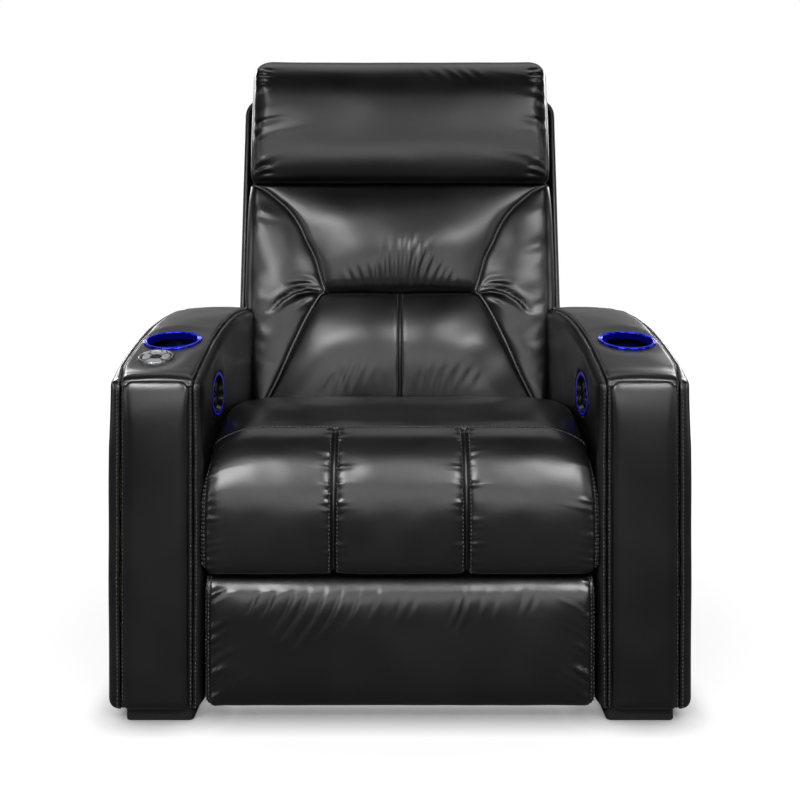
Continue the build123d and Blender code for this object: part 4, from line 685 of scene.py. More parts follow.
def top_strip(side):
    """The strip over the top, from its lip over the front panel to the arm's back: its side view
    carried across between the two seams and crowned, but flat round the cup and the key pad."""
    _, bow, top = nose_line()
    lip = [(9.0, 531.0), (5.0, 527.0), (1.5, 526.0), (0.0, 528.5)]
    rear = np.array([(ARM_LENGTH, z) for z in np.linspace(REAR_Z - SEAM_SINK, SOLE, 40)])[1:]
    path = np.vstack([lip, bow[5:], top, rear])
    line = along(path, where=shares(steps(path).sum(), 7.0, spots=(20.0,), fine=1.5, wide=60.0))
    share = shares(125.0, 4.0, fine=0.7, wide=16.0)
    d, z = line[:, :1], line[:, 1:]
    wide = SEAM_OUT + (SEAM_OUT_TOP - SEAM_OUT) * ease(d, 2.0, 70.0) - SEAM_IN
    x = SEAM_IN + wide * share[None, :]
    base = seat_point(side * x, d, z)
    edges = margins(base)
    height = crown(edges, (9.0, 9.0, 0.1, 0.1), (3.0, 3.0, 0.0, 0.0), power=3.0) + 3.0
    fill = (4 * share * (1 - share))[None, :] * np.ones_like(d)
    lift = 2.5 + 3.5 * fill**0.7 + 1.5 * ease(d, 150.0, 330.0) * fill**0.4
    lift += 4.5 * np.exp(-(((d - 20.0) / 17.0) ** 2)) * fill**0.5
    near = np.ones(x.shape)
    fittings = [(CUP_AT, 53.0)] + ([(PAD_AT, 31.0)] if side < 0 else [])
    for (cx, cd), reach in fittings:
        near = near * ease(np.hypot(x - cx, d - cd), reach, reach + 34.0)
    lift = 2.6 + (lift - 2.6) * near
    height += np.where(d < ARM_LENGTH - 0.5, lift, 1.0) * ease(z, 524.0, 536.0) - 3.0
    for away, seed in ((edges[0], 21), (edges[1], 22)):
        height += gathers(edges[2], away - 3.5, 6.3, 1.0, 8.0, seed) * ease(away, 2.5, 6.0)
    height += rumple(x, d, 90.0, 0.35, 23) * near
    return lifted(base, height, (0, -0.3, 1))


def front_border(side):
    """What shows of the front round the raised panel: flat leather just behind it."""
    x = SEAM_IN + (SEAM_OUT - SEAM_IN) * shares(SEAM_OUT - SEAM_IN, 6.0, fine=0.7, wide=12.0)
    z = SOLE + (BORDER_TOP - SOLE) * shares(BORDER_TOP - SOLE, 7.0, fine=1.5, wide=20.0)
    base = seat_point(side * x[None, :], 0.5, z[:, None])
    edges = margins(base)
    height = crown(edges, (7.0, 7.0, 6.0, 0.1), (3.2, 3.2, 4.0, 0.0), power=3.0)
    for away, seed in ((edges[0], 24), (edges[1], 25)):
        height += gathers(edges[2], away - 3.5, 6.3, 0.8, 5.0, seed) * ease(away, 2.5, 6.0)
    return lifted(base, height, (0, -1, 0))


def corner_arc(edge, head, radius, start, end, count):
    """Stretch of the quarter circle that rounds an upper right corner, between two shares of it."""
    q = np.linspace(start, end, count) * math.pi / 2
    return np.stack([edge - radius * (1 - np.cos(q)), head - radius + radius * np.sin(q)], -1)


def front_panel(side):
    """Raised front panel: corners rounded at the top, edges rolled down onto the border."""
    inner, outer, foot, head, radius, raised = 332.5, 435.0, 22.5, 537.5, 16.0, 12.5
    right = np.vstack([[(outer - 4, foot), (outer, foot + 6)], corner_arc(outer, head, radius, 0, 0.5, 7)])
    over = corner_arc(outer, head, radius, 0.5, 1, 7)
    mirror = np.array([inner + outer, 0])
    left, over_left = mirror + right * (-1, 1), mirror + over * (-1, 1)
    high = np.vstack([over_left, over[::-1]])
    low = [(inner + 4, foot), (outer - 4, foot)]
    s = shares(outer - inner, 4.0, fine=0.6, wide=18.0)
    t = shares(head - foot, 6.0, fine=0.6, wide=40.0)
    flat = patch(low, right, high, left, s, t)
    x, z = flat[..., 0], flat[..., 1]
    height = crown(margins(flat), (20.0, 20.0, 16.0, 84.0), (10.0, 10.0, 10.0, 15.0), power=2.2)
    height += 1.5 * (4 * (x - inner) * (outer - x) / (outer - inner) ** 2).clip(0, 1)
    height += rumple(x, z, 110.0, 0.25, 14)
    return lifted(seat_point(side * x, 0.0, z), height + raised, (0, -1, 0))


for side, word in ((-1, "left"), (1, "right")):
    outer = side_pad(side, ARM_OUT, 1, (ARM_OUT - SEAM_OUT, ARM_OUT - SEAM_OUT_TOP), 3)
    inner = side_pad(side, ARM_IN, -1, (SEAM_IN - ARM_IN, SEAM_IN - ARM_IN), 5)
    strip = top_strip(side)
    border = front_border(side)
    for name, node, face, thick, out in (("outer", "outer", outer, 5.0, (side, 0, 0)),
                                         ("inner", "inner", inner, 5.0, (-side, 0, 0)),
                                         ("top", "top", strip, 6.0, (0, 0, 1)),
                                         ("border", "front", border, 6.0, (0, -1, 0))):
        leather = shell(f"arm_{name}_leather_{word}", face, thick, out)
        fit(leather, "base", [f"arm_{node}_pad_{word}"])
    fit(stuffed(f"arm_front_panel_{word}", front_panel(side), (0, 6.0, 0)), "base")
    seams = [row_at(face, edge, 4.6, (0, -1, 1)) for face in (strip, border) for edge in ("left", "right")]
    seams += [row_at(pad, edge, 3.8, (side * way, -0.7, 0.7)) for pad, way in ((outer, 1), (inner, -1))
              for edge in ("left", "high")]
    sew(f"arm_stitches_{word}", "base", seams)


def arch_frame(x, depth):
    """Centre and unit directions (across, along, out) of the arm's top at a width and depth."""
    radius = ((PEAK - NOSE) ** 2 + (PEAK_Z - NOSE_Z) ** 2) / (2 * (PEAK_Z - NOSE_Z))
    slope = math.asin((PEAK - depth) / radius)
    centre = np.array([x, FRONT_Y + depth, float(arch(depth))])
    onward = np.array([0, math.cos(slope), math.sin(slope)])
    out = np.array([0, -math.sin(slope), math.cos(slope)])
    return centre, np.array([1.0, 0, 0]), onward, out


def turned(name, place, outline, material, count=96):
    """Turned piece: its half section, as radius and height, carried round an axis."""
    centre, across, onward, out = place
    outline = np.asarray(outline, float)
    q = np.linspace(0, 2 * np.pi, count, endpoint=False)
    around = np.cos(q)[:, None] * across + np.sin(q)[:, None] * onward
    points = centre + outline[:, 0][:, None, None] * around[None] + outline[:, 1][:, None, None] * out
    return solid(name, points, weave(len(outline), count, wrap=True), material)


def bore(target, place, radius, deep=60.0, high=25.0):
    """Round hole cut through a leather piece where a fitting hangs in it."""
    outline = [(0.01, -deep), (radius, -deep), (radius, high), (0.01, high)]
    cutter = turned("cutter", place, outline, hide_black, 72)
    cut = target.modifiers.new("hole", "BOOLEAN")
    cut.operation, cut.solver, cut.object = "DIFFERENCE", "EXACT", cutter
    bpy.context.view_layer.objects.active = target
    for name in [m.name for m in target.modifiers]:
        bpy.ops.object.modifier_apply(modifier=name)
    bpy.data.objects.remove(cutter, do_unlink=True)


dress(moulded_plastic("black_polypropylene_runner", "#0e0e0e", "#141414", 0.5, 1.2, 0.06), *pair("plinth"))


# ---- Cup holders, side switches and key pad ----------------------------------------------------
# Anodised aluminium cups with a polished flange and a light ring let into it, round side switches
# in the inner faces of the arms, and on the left arm a chromed key pad with four arrow keys.

def metal_with_painted_glow(name, dark, light, glow, strength, rough):
    """Polished metal with the blue light of the ring beside it painted on as a glow, and with painted
    glints:
    bright and dark patches 26 mm wide run round the rim."""
    material, tree, where = bare(name)
    cloud = part(tree, "ShaderNodeTexNoise", {"Vector": where, "Scale": 1000 / 26, "Detail": 1.0})
    patches_and_glints = part(tree, "ShaderNodeMapRange", {"Value": cloud, "From Min": 0.4, "From Max": 0.6})
    # Painted glints: the colour runs from dark to light blue over the patches.
    hue = part(tree, "ShaderNodeMix", {"Factor": patches_and_glints, "A": tone(dark), "B": tone(light)}, data_type="RGBA")
    fine = part(tree, "ShaderNodeTexNoise", {"Vector": where, "Scale": 1000 / 0.7, "Detail": 1.0})
    brushed = part(tree, "ShaderNodeBump", {"Height": fine, "Distance": 0.02 / 1000})
    metal = part(tree, "ShaderNodeBsdfPrincipled", {
        "Base Color": hue.outputs["Result"], "Metallic": 1.0, "Roughness": rough,
        "Emission Color": tone(glow), "Emission Strength": strength, "Normal": brushed})
    part(tree, "ShaderNodeOutputMaterial", {"Surface": metal})
    return material


def light_ring(name, colour, strength):
    """Frosted acrylic light guide: it glows evenly, over patches 18 mm wide."""
    material, tree, where = bare(name)
    cloud = part(tree, "ShaderNodeTexNoise", {"Vector": where, "Scale": 1000 / 18, "Detail": 2.0})
    patches_and_glints = part(tree, "ShaderNodeMapRange", {"Value": cloud, "From Min": NOISE_LOW, "From Max": NOISE_HIGH})
    hue = part(tree, "ShaderNodeMix", {
        "Factor": patches_and_glints, "A": tone("#060c60"), "B": tone("#1420b0")}, data_type="RGBA")
    lamp = part(tree, "ShaderNodeBsdfPrincipled", {
        "Base Color": hue.outputs["Result"], "Roughness": 0.2,
        "Emission Color": tone(colour), "Emission Strength": strength})
    part(tree, "ShaderNodeOutputMaterial", {"Surface": lamp})
    return material


# The flange and the cup wall glow with painted light from the rings, and their bright patches are painted
# glints; the light ring itself is a lamp.
blue_flange = metal_with_painted_glow("blue_anodised_flange_with_painted_glow", "#0a1080", "#3646f0", "#0610a0", 0.22, 0.14)
blue_well = metal_with_painted_glow("blue_anodised_cup_wall_with_painted_glow", "#010204", "#060a26", "#02031c", 0.10, 0.3)
blue_light = light_ring("blue_acrylic_light_guide", "#141cd8", 0.5)
black_gloss = moulded_plastic("black_polycarbonate_gloss", "#08080a", "#0d0d10", 0.16, 2.5, 0.01)

# Half sections, as radius and height above the arm's top: the polished flange with a sleeve that
# lines the cup's mouth, the wall and floor of the well, and the light ring in the flange's groove.
CUP_WELL, CUP_HOLE, SWITCH_HOLE, PAD_HOLE = 43.0, 46.0, 39.3, 27.0
FLANGE = [(44.8, -9.0), (44.8, -3.0), (50.0, 0.2), (50.5, 1.2), (50.4, 2.2), (49.9, 3.0), (49.0, 3.4),
          (48.2, 3.2), (48.0, 2.2), (45.0, 2.2), (44.8, 3.3), (44.2, 3.5), (43.4, 3.1), (CUP_WELL, 2.0),
          (CUP_WELL, -9.0), (44.8, -9.0)]
WELL = [(0.05, -69.0), (36.0, -69.0), (40.5, -68.0), (42.5, -65.5), (CUP_WELL, -62.0), (CUP_WELL, -9.0),
        (44.8, -9.0), (44.8, -71.0), (0.05, -71.5)]
GLOW = [(45.0, 2.2), (45.1, 2.9), (45.6, 3.3), (47.4, 3.3), (47.9, 2.9), (48.0, 2.2), (45.0, 2.2)]

for side, word in ((-1, "left"), (1, "right")):
    place = arch_frame(side * CUP_AT[0], CUP_AT[1])
    bore(bpy.data.objects[f"arm_top_leather_{word}"], place, CUP_HOLE)
    flange = turned(f"cup_flange_{word}", place, FLANGE, blue_flange)
    well = turned(f"cup_well_{word}", place, WELL, blue_well)
    ring = turned(f"cup_light_ring_{word}", place, GLOW, blue_light)
    fit(flange, "base")
    fit(well, "base", [f"cup_holder_{word}"])
    fit(ring, "base", [f"cup_light_{word}"])
    middle = np.array([side * ARM_IN, FRONT_Y + SWITCH_AT[0], SWITCH_AT[1]])
    out = np.array([-side * math.cos(SWITCH_TURN), -math.sin(SWITCH_TURN), 0])
    upright = np.array([0, 0, 1.0])
    bore(bpy.data.objects[f"arm_inner_leather_{word}"], (middle, np.cross(out, upright), upright, out),
         SWITCH_HOLE, deep=40.0)
    dress(black_gloss, *[f"side_switch_{piece}_{word}" for piece in ("housing", "key_upper", "key_lower")])
    dress(blue_light, f"side_switch_light_{word}")

# The key pad's chrome begins 25.4 mm from its axis; inside that lies the black dish. The distance
# to the axis is the length of the cross product with the axis's direction.
pad_place = arch_frame(-PAD_AT[0], PAD_AT[1])
pad_middle, pad_out = tuple(pad_place[0] / 1000), tuple(pad_place[3])
chrome, tree, where = bare("chromed_rim_round_a_black_dish")
fleck = part(tree, "ShaderNodeTexNoise", {"Vector": where, "Scale": 1000 / 5.0, "Detail": 2.0})
wear = part(tree, "ShaderNodeMapRange", {
    "Value": fleck, "From Min": NOISE_LOW, "From Max": NOISE_HIGH, "To Min": 0.24, "To Max": 0.36})
plate = part(tree, "ShaderNodeBsdfPrincipled", {
    "Base Color": tone("#c9cacc"), "Metallic": 1.0, "Roughness": wear})
dish = part(tree, "ShaderNodeBsdfPrincipled", {"Base Color": tone("#070708"), "Roughness": 0.25})
arm = part(tree, "ShaderNodeVectorMath", {0: where, 1: pad_middle}, operation="SUBTRACT")
turn = part(tree, "ShaderNodeVectorMath", {0: arm, 1: pad_out}, operation="CROSS_PRODUCT")
reach = part(tree, "ShaderNodeVectorMath", {0: turn}, operation="LENGTH")
rim = part(tree, "ShaderNodeMath", {0: reach.outputs["Value"], 1: 0.0254}, operation="GREATER_THAN")
both = part(tree, "ShaderNodeMixShader", {0: rim, 1: dish, 2: plate})
part(tree, "ShaderNodeOutputMaterial", {"Surface": both})
satin, tree, where = bare("satin_aluminium_key")
fleck = part(tree, "ShaderNodeTexNoise", {"Vector": where, "Scale": 1000 / 0.8, "Detail": 2.0})
blast = part(tree, "ShaderNodeBump", {"Height": fleck, "Distance": 0.05 / 1000})
key = part(tree, "ShaderNodeBsdfPrincipled", {
    "Base Color": tone("#c4c6c9"), "Metallic": 1.0, "Roughness": 0.4, "Normal": blast})
part(tree, "ShaderNodeOutputMaterial", {"Surface": key})
dress(chrome, "keypad_housing")
dress(satin, *[f"keypad_key_{way}" for way in ("front", "rear", "left", "right")])
dress(black_gloss, "keypad_key_centre")
bore(bpy.data.objects["arm_top_leather_left"], pad_place, PAD_HOLE)


# ---- Seat --------------------------------------------------------------------------------------
# A foam block on webbing, covered with a crowned top panel; the front panel rolls over the front
# edge to a seam on top and is drawn in by two sewn channels.
SEAT_HALF, CHANNEL = 312.0, 104.7
FAR = 1e3                               # mm, a distance at which a gather has died away


def channel(x, lines, roll, drop):
    """How far a face is drawn in beside its sewn channels: a quarter-ellipse roll on both sides of
    a strip 3 mm wide that lies flat."""
    away = np.maximum(np.min([np.abs(x - line) for line in lines], axis=0) - 1.5, 0)
    return rolled(away, roll, drop)


def droop(x, start, depth):
    """How far the seat's front corners hang, outside the half width start."""
    return depth * ((np.abs(x) - start) / (SEAT_HALF - start)).clip(0, 1) ** 2.2


# Front panel. Its side view, as depth behind the arm fronts and height, starts tucked under the seat.
front_line = bend([(15, 238), (7, 235.8), (-3, 235.8), (-9.5, 241.5), (-12.5, 255), (-14, 280), (-14, 310),
                   (-11.6, 340), (-5, 370), (7.5, 400), (20.5, 420), (40, 439.5), (64, 453.5)])
across = shares(2 * SEAT_HALF, 6.0, spots=(SEAT_HALF - CHANNEL, SEAT_HALF + CHANNEL), fine=0.8, wide=34.0)
line = along(front_line, where=shares(steps(front_line).sum(), 2.2, fine=1.2, wide=20.0))
x = SEAT_HALF * (2 * across - 1)
d, z = line[:, :1], line[:, 1:]
base = seat_point(x[None, :], d, z - droop(x, 225.0, 34.0) * ((z - 330.0) / 125.0).clip(0, 1) ** 1.5)
x = base[..., 0]
edges = margins(base)
ends = np.clip(edges[3] / 60.0, 0, 1) ** 0.6 * np.clip(edges[2] / 36.0, 0, 1)
height = crown(edges, (30.0, 30.0, 5.0, 5.0), (16.0, 16.0, 1.5, 2.5), power=2.2)
height -= channel(x, (-CHANNEL, CHANNEL), 19.0, 8.5) * (0.3 + 0.7 * ends)
lobe = np.abs(((x + 3 * CHANNEL) / (2 * CHANNEL)) % 1 - 0.5) * 2
height += 3.0 * (1 - lobe**2) * ends
for k, line_x in enumerate((-CHANNEL, CHANNEL)):
    for way in (-1, 1):
        away = np.where((x - line_x) * way > 4, (x - line_x) * way - 4, FAR)
        height += gathers(edges[2], away, 6.6, 4.2, 12.0, 31 + 2 * k + way, slant=-0.1)
        knot = [(line_x + way * 2, 4), (line_x + way * 7, 9), (line_x + way * 14, 10)]
        height += crease(x, edges[3], knot, 2.2, 1.3)
for away, seed in ((edges[0], 51), (edges[1], 52)):
    height += gathers(edges[2], np.where(away > 6, away - 6, FAR), 6.6, 4.6, 19.0, seed, slant=-0.25)
    height -= 1.8 * np.exp(-(((away - 6.0) / 1.7) ** 2))
height += rumple(x, edges[2], 90.0, 0.35, 61) * np.clip(edges[3] / 40, 0, 1)
seat_front = lifted(base, height, (0, -1, 0.2))
fit(stuffed("seat_front_leather", seat_front, (0, 14.0, 0)), "base", ["seat_front_pad"])
facing = (0, -1, 0.4)
seat_rows = [row_at(seat_front, edge, gap, facing) for edge in ("left", "right") for gap in (3.0, 9.5)]
seat_rows += [row_at(seat_front, "high", 4.0, facing)]
for line_x in (-CHANNEL, CHANNEL):
    seat_rows += [row_at(seat_front[:, x[0] > line_x + 1.5], "left", 5.5, facing),
                  row_at(seat_front[:, x[0] < line_x - 1.5], "right", 5.5, facing)]
sew("seat_front_stitches", "base", seat_rows, pitch=6.2)

# Top panel, from the seam on top back to the backrest; its front corners hang with the front panel's.
top_line = bend([(64, 452.5), (95, 461), (150, 468.5), (210, 470), (300, 464), (420, 448), (548, 428)])
across = shares(2 * SEAT_HALF, 8.0, fine=1.0, wide=60.0)
line = along(top_line, where=shares(steps(top_line).sum(), 6.0, fine=1.0, wide=30.0))
x = SEAT_HALF * (2 * across - 1)
d, z = line[:, :1], line[:, 1:]
base = seat_point(x[None, :], d, z - droop(x, 215.0, 32.0) * (1 - 0.6 * ease(d, 70.0, 250.0)))
x = base[..., 0]
edges = margins(base)
height = crown(edges, (26.0, 26.0, 5.0, 20.0), (14.0, 14.0, 2.5, 10.0), power=2.2)
height += gathers(x, edges[2], 13.0, 0.9, 16.0, 71)
height += rumple(x, edges[2], 110.0, 0.8, 72) * ease(edges[2], 0.0, 30.0)
seat_top = lifted(base, height, (0, 0, 1))
fit(stuffed("seat_top_leather", seat_top, (0, 0, -80.0)), "base", ["seat_cushion"])
sew("seat_top_stitches", "base", [row_at(seat_top, "low", 4.0, (0, -0.3, 1))])


# ---- Legrest -----------------------------------------------------------------------------------
# A padded panel on a plywood board. The leather is pulled tight over the foam and gathered into a
# seam down each side, which leaves slanting puckers; folds fan down from the top edge.
LEG_HALF, LEG_LOW, LEG_HIGH, LEG_ROUND = 305.5, 26.0, 226.0, 14.0
LEG_CREST = 11.0                        # how far the legrest's crest lies in front of the arm fronts
wide, tall = 2 * LEG_HALF, LEG_HIGH - LEG_LOW
across = shares(wide, 3.6, fine=0.8, wide=30.0)
upward = shares(tall, 2.2, fine=0.8, wide=30.0)
x, z = np.meshgrid(LEG_HALF * (2 * across - 1), LEG_LOW + tall * upward)
# The lower corners are rounded: their square is carried onto a quarter disc.
u = (1 - (LEG_HALF - np.abs(x)) / LEG_ROUND).clip(0)
v = (1 - (z - LEG_LOW) / LEG_ROUND).clip(0)
inward = np.where(u * v > 0, np.maximum(u, v) / np.maximum(np.hypot(u, v), 1e-9), 1.0) - 1
x, z = x + np.sign(x) * LEG_ROUND * u * inward, z - LEG_ROUND * v * inward
base = seat_point(x, -LEG_CREST, z)
edges = margins(base)
height = crown(edges, (24.0, 24.0, 42.0, 60.0), (13.0, 13.0, 13.0, 24.0), power=2.3)
plump = (4 * (x + LEG_HALF) * (LEG_HALF - x) / wide**2) ** 0.6
height += 4.0 * plump * (4 * (z - LEG_LOW) * (LEG_HIGH - z) / tall**2) ** 0.8
for away, seed in ((edges[0], 81), (edges[1], 82)):
    height += gathers(z, np.where(away > 6, away - 6, FAR), 9.0, 6.0, 24.0, seed, slant=-0.6)
    height -= 1.8 * np.exp(-(((away - 6.0) / 1.8) ** 2))
height += gathers(x, edges[3] - 12, 13.0, 1.3, 20.0, 83, slant=0.45) * ease(edges[3], 12.0, 20.0)
LEG_FOLDS = ((-165, -34, -62, 1.5), (-144, -40, -74, 2.2), (-118, -44, -82, 2.4), (-92, -34, -66, 1.9),
             (-64, -24, -54, 1.3), (-34, -18, -44, 1.0), (6, -16, -46, 1.0), (28, -18, -44, 0.8),
             (92, -18, -50, 1.1), (106, -22, -60, 1.4), (130, -10, -42, 1.1), (154, -10, -38, 0.9),
             (196, -12, -38, 0.8), (214, -10, -34, 0.8), (-196, -22, -44, 1.1), (-222, -18, -38, 1.0))
height += fan(x, z, LEG_HIGH - 16, LEG_FOLDS, 3.4, bow=0.42)
height += rumple(x, z, 100.0, 0.5, 91)
leg_face = lifted(base, height, (0, -1, 0))
fit(stuffed("legrest_leather", leg_face, (0, 56.0, 0), bulge=1.0), "legrest", ["legrest_cushion"])
leg_rows = [row_at(leg_face, edge, gap, (0, -1, 0)) for edge in ("left", "right") for gap in (3.0, 9.5)]
sew("legrest_stitches", "legrest", leg_rows, pitch=6.2)


# ---- Backrest ----------------------------------------------------------------------------------
# Four foam panels on webbing: a lower one with a sewn middle line, an upper one between two curved
# seams, and a bolster down each side. Flat ribbons are sewn over the joins; at the waist the
# leather folds outwards.
LEAN, HINGE_DEPTH, HINGE_Z = math.radians(14.0), 600.0, 290.0


def back_point(x, back, up):
    """Point in the frame from its width, its distance behind the back's own plane and its height
    up along it, from the recline hinge."""
    x, back, up = np.broadcast_arrays(x, back, up)
    depth = HINGE_DEPTH + back * math.cos(LEAN) + up * math.sin(LEAN)
    return seat_point(x, depth, HINGE_Z - back * math.sin(LEAN) + up * math.cos(LEAN))


BACK_OUT = np.array([0, -math.cos(LEAN), math.sin(LEAN)])
# Heights up the back of its panels' seams, half widths there, and how far the panels' crests lie in
# front of the back's plane.
BACK_FOOT, WAIST, NECK = 66.0, 344.0, 585.0
FOOT_HALF, WAIST_HALF, NECK_HALF = 300.0, 161.0, 325.0
LOWER_CREST, UPPER_CREST, BOLSTER_CREST, RIBBON_CREST, HEAD_CREST = 80.0, 86.0, 84.0, 82.5, 145.0
RIBBON_HALF, RIBBON_FLAT = 2.7, 0.55    # half the ribbons' width, and their thickness as a share of it
curve_seam = bend([(WAIST_HALF, WAIST), (172, 382), (184, 421), (202, 457), (218, 491), (241, 525),
                   (270, 552), (297, 573), (NECK_HALF, NECK)])
slant_seam = bend([(WAIST_HALF, WAIST), (173, 336), (199, 291), (224, 237), (254, 167), (284, 104),
                   (FOOT_HALF, BACK_FOOT)])
waist_seam = slant_seam[::-1]
waist_line, neck_line = [(-WAIST_HALF, WAIST), (WAIST_HALF, WAIST)], [(-NECK_HALF, NECK), (NECK_HALF, NECK)]
foot_line = [(-FOOT_HALF, BACK_FOOT), (FOOT_HALF, BACK_FOOT)]


def back_grid(low, right, high, left, across, upward, spots=(), wide=30.0):
    """Grid of a back panel between its four edges, at most 6 mm apart across and 5 mm up; across and
    upward are its rough sizes."""
    s = shares(across, 6.0, spots=spots, fine=0.9, wide=wide)
    t = shares(upward, 5.0, fine=0.9, wide=wide)
    return patch(low, right, high, left, s, t)


def between_seams(edges):
    """How far a point lies from both sides of its panel: 1 in the middle, 0 at either side."""
    return 4 * edges[0] * edges[1] / (edges[0] + edges[1]) ** 2


def ribbon(name, path):
    """Flat leather ribbon sewn over a seam of the back: an ellipse carried along the seam."""
    path = along(path, max(8, int(steps(path).sum() / 5)))
    lead = unit(np.gradient(path, axis=0))
    high = unit(BACK_OUT - lead * (lead @ BACK_OUT)[:, None])[:, None]
    side = np.cross(lead[:, None], high)
    ring = np.linspace(0, 2 * np.pi, 14, endpoint=False)[None, :, None]
    points = path[:, None] + RIBBON_HALF * (RIBBON_FLAT * high * np.cos(ring) + side * np.sin(ring))
    last = 14 * (len(path) - 1)
    caps = [list(range(14))[::-1], list(range(last, last + 14))]
    return fit(solid(name, points, weave(len(path), 14, wrap=True) + caps), "back")


# Upper panel, between the two curved seams and the head cushion.
flat = back_grid(waist_line, curve_seam, neck_line, curve_seam * (-1, 1), 470.0, 300.0)
x, u = flat[..., 0], flat[..., 1]
edges = margins(flat)
inside = ease(np.minimum(edges[0], edges[1]), 0.0, 30.0)
tall = (u - WAIST) / (NECK - WAIST)
height = crown(edges, (13.0, 13.0, 30.0, 20.0), (5.5, 5.5, 17.0, 8.0), power=2.2)
height += 24.0 * (4 * tall * (1 - tall)).clip(0, 1) ** 0.9 * between_seams(edges) ** 0.45
UPPER_FOLDS = ((-98, -18, 46, 1.6), (-80, -16, 52, 1.9), (-62, -14, 58, 2.2), (-44, -10, 64, 2.3),
               (-24, -6, 84, 2.6), (-8, 2, 100, 2.6), (6, 10, 112, 3.0), (18, 20, 110, 3.2),
               (36, 28, 96, 2.9), (52, 28, 76, 2.4), (70, 26, 60, 2.1), (86, 20, 50, 1.7),
               (102, 16, 42, 1.4))
height += 0.68 * fan(x, u, 350.0, UPPER_FOLDS, 4.6)
height += gathers(x, edges[2] - 3, 11.0, 2.4, 20.0, 101) * ease(edges[2], 3.0, 8.0)
height += rumple(x, u, 130.0, 0.9, 102) * inside
for away, seed in ((edges[0], 103), (edges[1], 104)):
    height += gathers(u, away - 4, 7.0, 1.0, 7.0, seed) * ease(away, 3.0, 7.0)
upper = lifted(back_point(x, -UPPER_CREST, u), height, BACK_OUT)
fit(stuffed("back_upper_leather", upper, -90 * BACK_OUT), "back", ["back_upper_cushion"])
back_rows = [row_at(upper, edge, 6.0, BACK_OUT) for edge in ("left", "right")]

# Lower panel, in two halves drawn in along the middle.
flat = back_grid(foot_line, waist_seam, waist_line, waist_seam * (-1, 1), 460.0, 300.0, spots=(230.0,))
x, u = flat[..., 0], flat[..., 1]
edges = margins(flat)
inside = ease(np.minimum(edges[0], edges[1]), 0.0, 30.0)
tall = ((u - BACK_FOOT) / (WAIST - BACK_FOOT)).clip(0, 1)
above = 27.0 * (1 - ((tall - 0.6) / 0.4) ** 2)
below = 27.0 - 36.0 * ((0.6 - tall) / 0.6).clip(0, 1) ** 1.7
height = crown(edges, (13.0, 13.0, 10.0, 16.0), (5.5, 5.5, 4.0, 9.0), power=2.2)
height += np.where(tall > 0.6, above, below) * between_seams(edges) ** 0.5
height -= channel(x, (0.0,), 13.0, 4.5) * np.clip(edges[3] / 16, 0.2, 1)
lobe = np.abs(4 * np.abs(x) / (edges[0] + edges[1]) - 1).clip(0, 1)
height += 5.0 * (1 - lobe**2)
LOWER_FOLDS = ((-158, 32, 50, 1.8), (-134, 30, 62, 2.3), (-110, 26, 68, 2.6), (-86, 22, 62, 2.3),
               (-62, 16, 52, 1.9), (-40, 8, 42, 1.4), (34, 10, 48, 1.5), (56, 16, 58, 2.1),
               (78, 20, 62, 2.4), (102, 22, 60, 2.3), (126, 24, 52, 1.9), (150, 24, 44, 1.5))
height += 0.75 * fan(x, u, 128.0, LOWER_FOLDS, 5.0)
for way, seed in ((-1, 111), (1, 112)):
    height += gathers(u, np.where(x * way > 2, x * way - 2, FAR), 7.5, 1.4, 9.0, seed, slant=0.15)
for away, seed in ((edges[0], 113), (edges[1], 114)):
    height += gathers(u, away - 4, 7.0, 1.0, 8.0, seed) * ease(away, 3.0, 7.0)
height += rumple(x, u, 110.0, 0.7, 115) * inside
lower = lifted(back_point(x, -LOWER_CREST, u), height, BACK_OUT)
fit(stuffed("back_lower_leather", lower, -80 * BACK_OUT), "back", ["back_lower_cushion"])
back_rows += [row_at(lower[:, x[0] > 1.5], "left", 5.0, BACK_OUT),
              row_at(lower[:, x[0] < -1.5], "right", 5.0, BACK_OUT)]

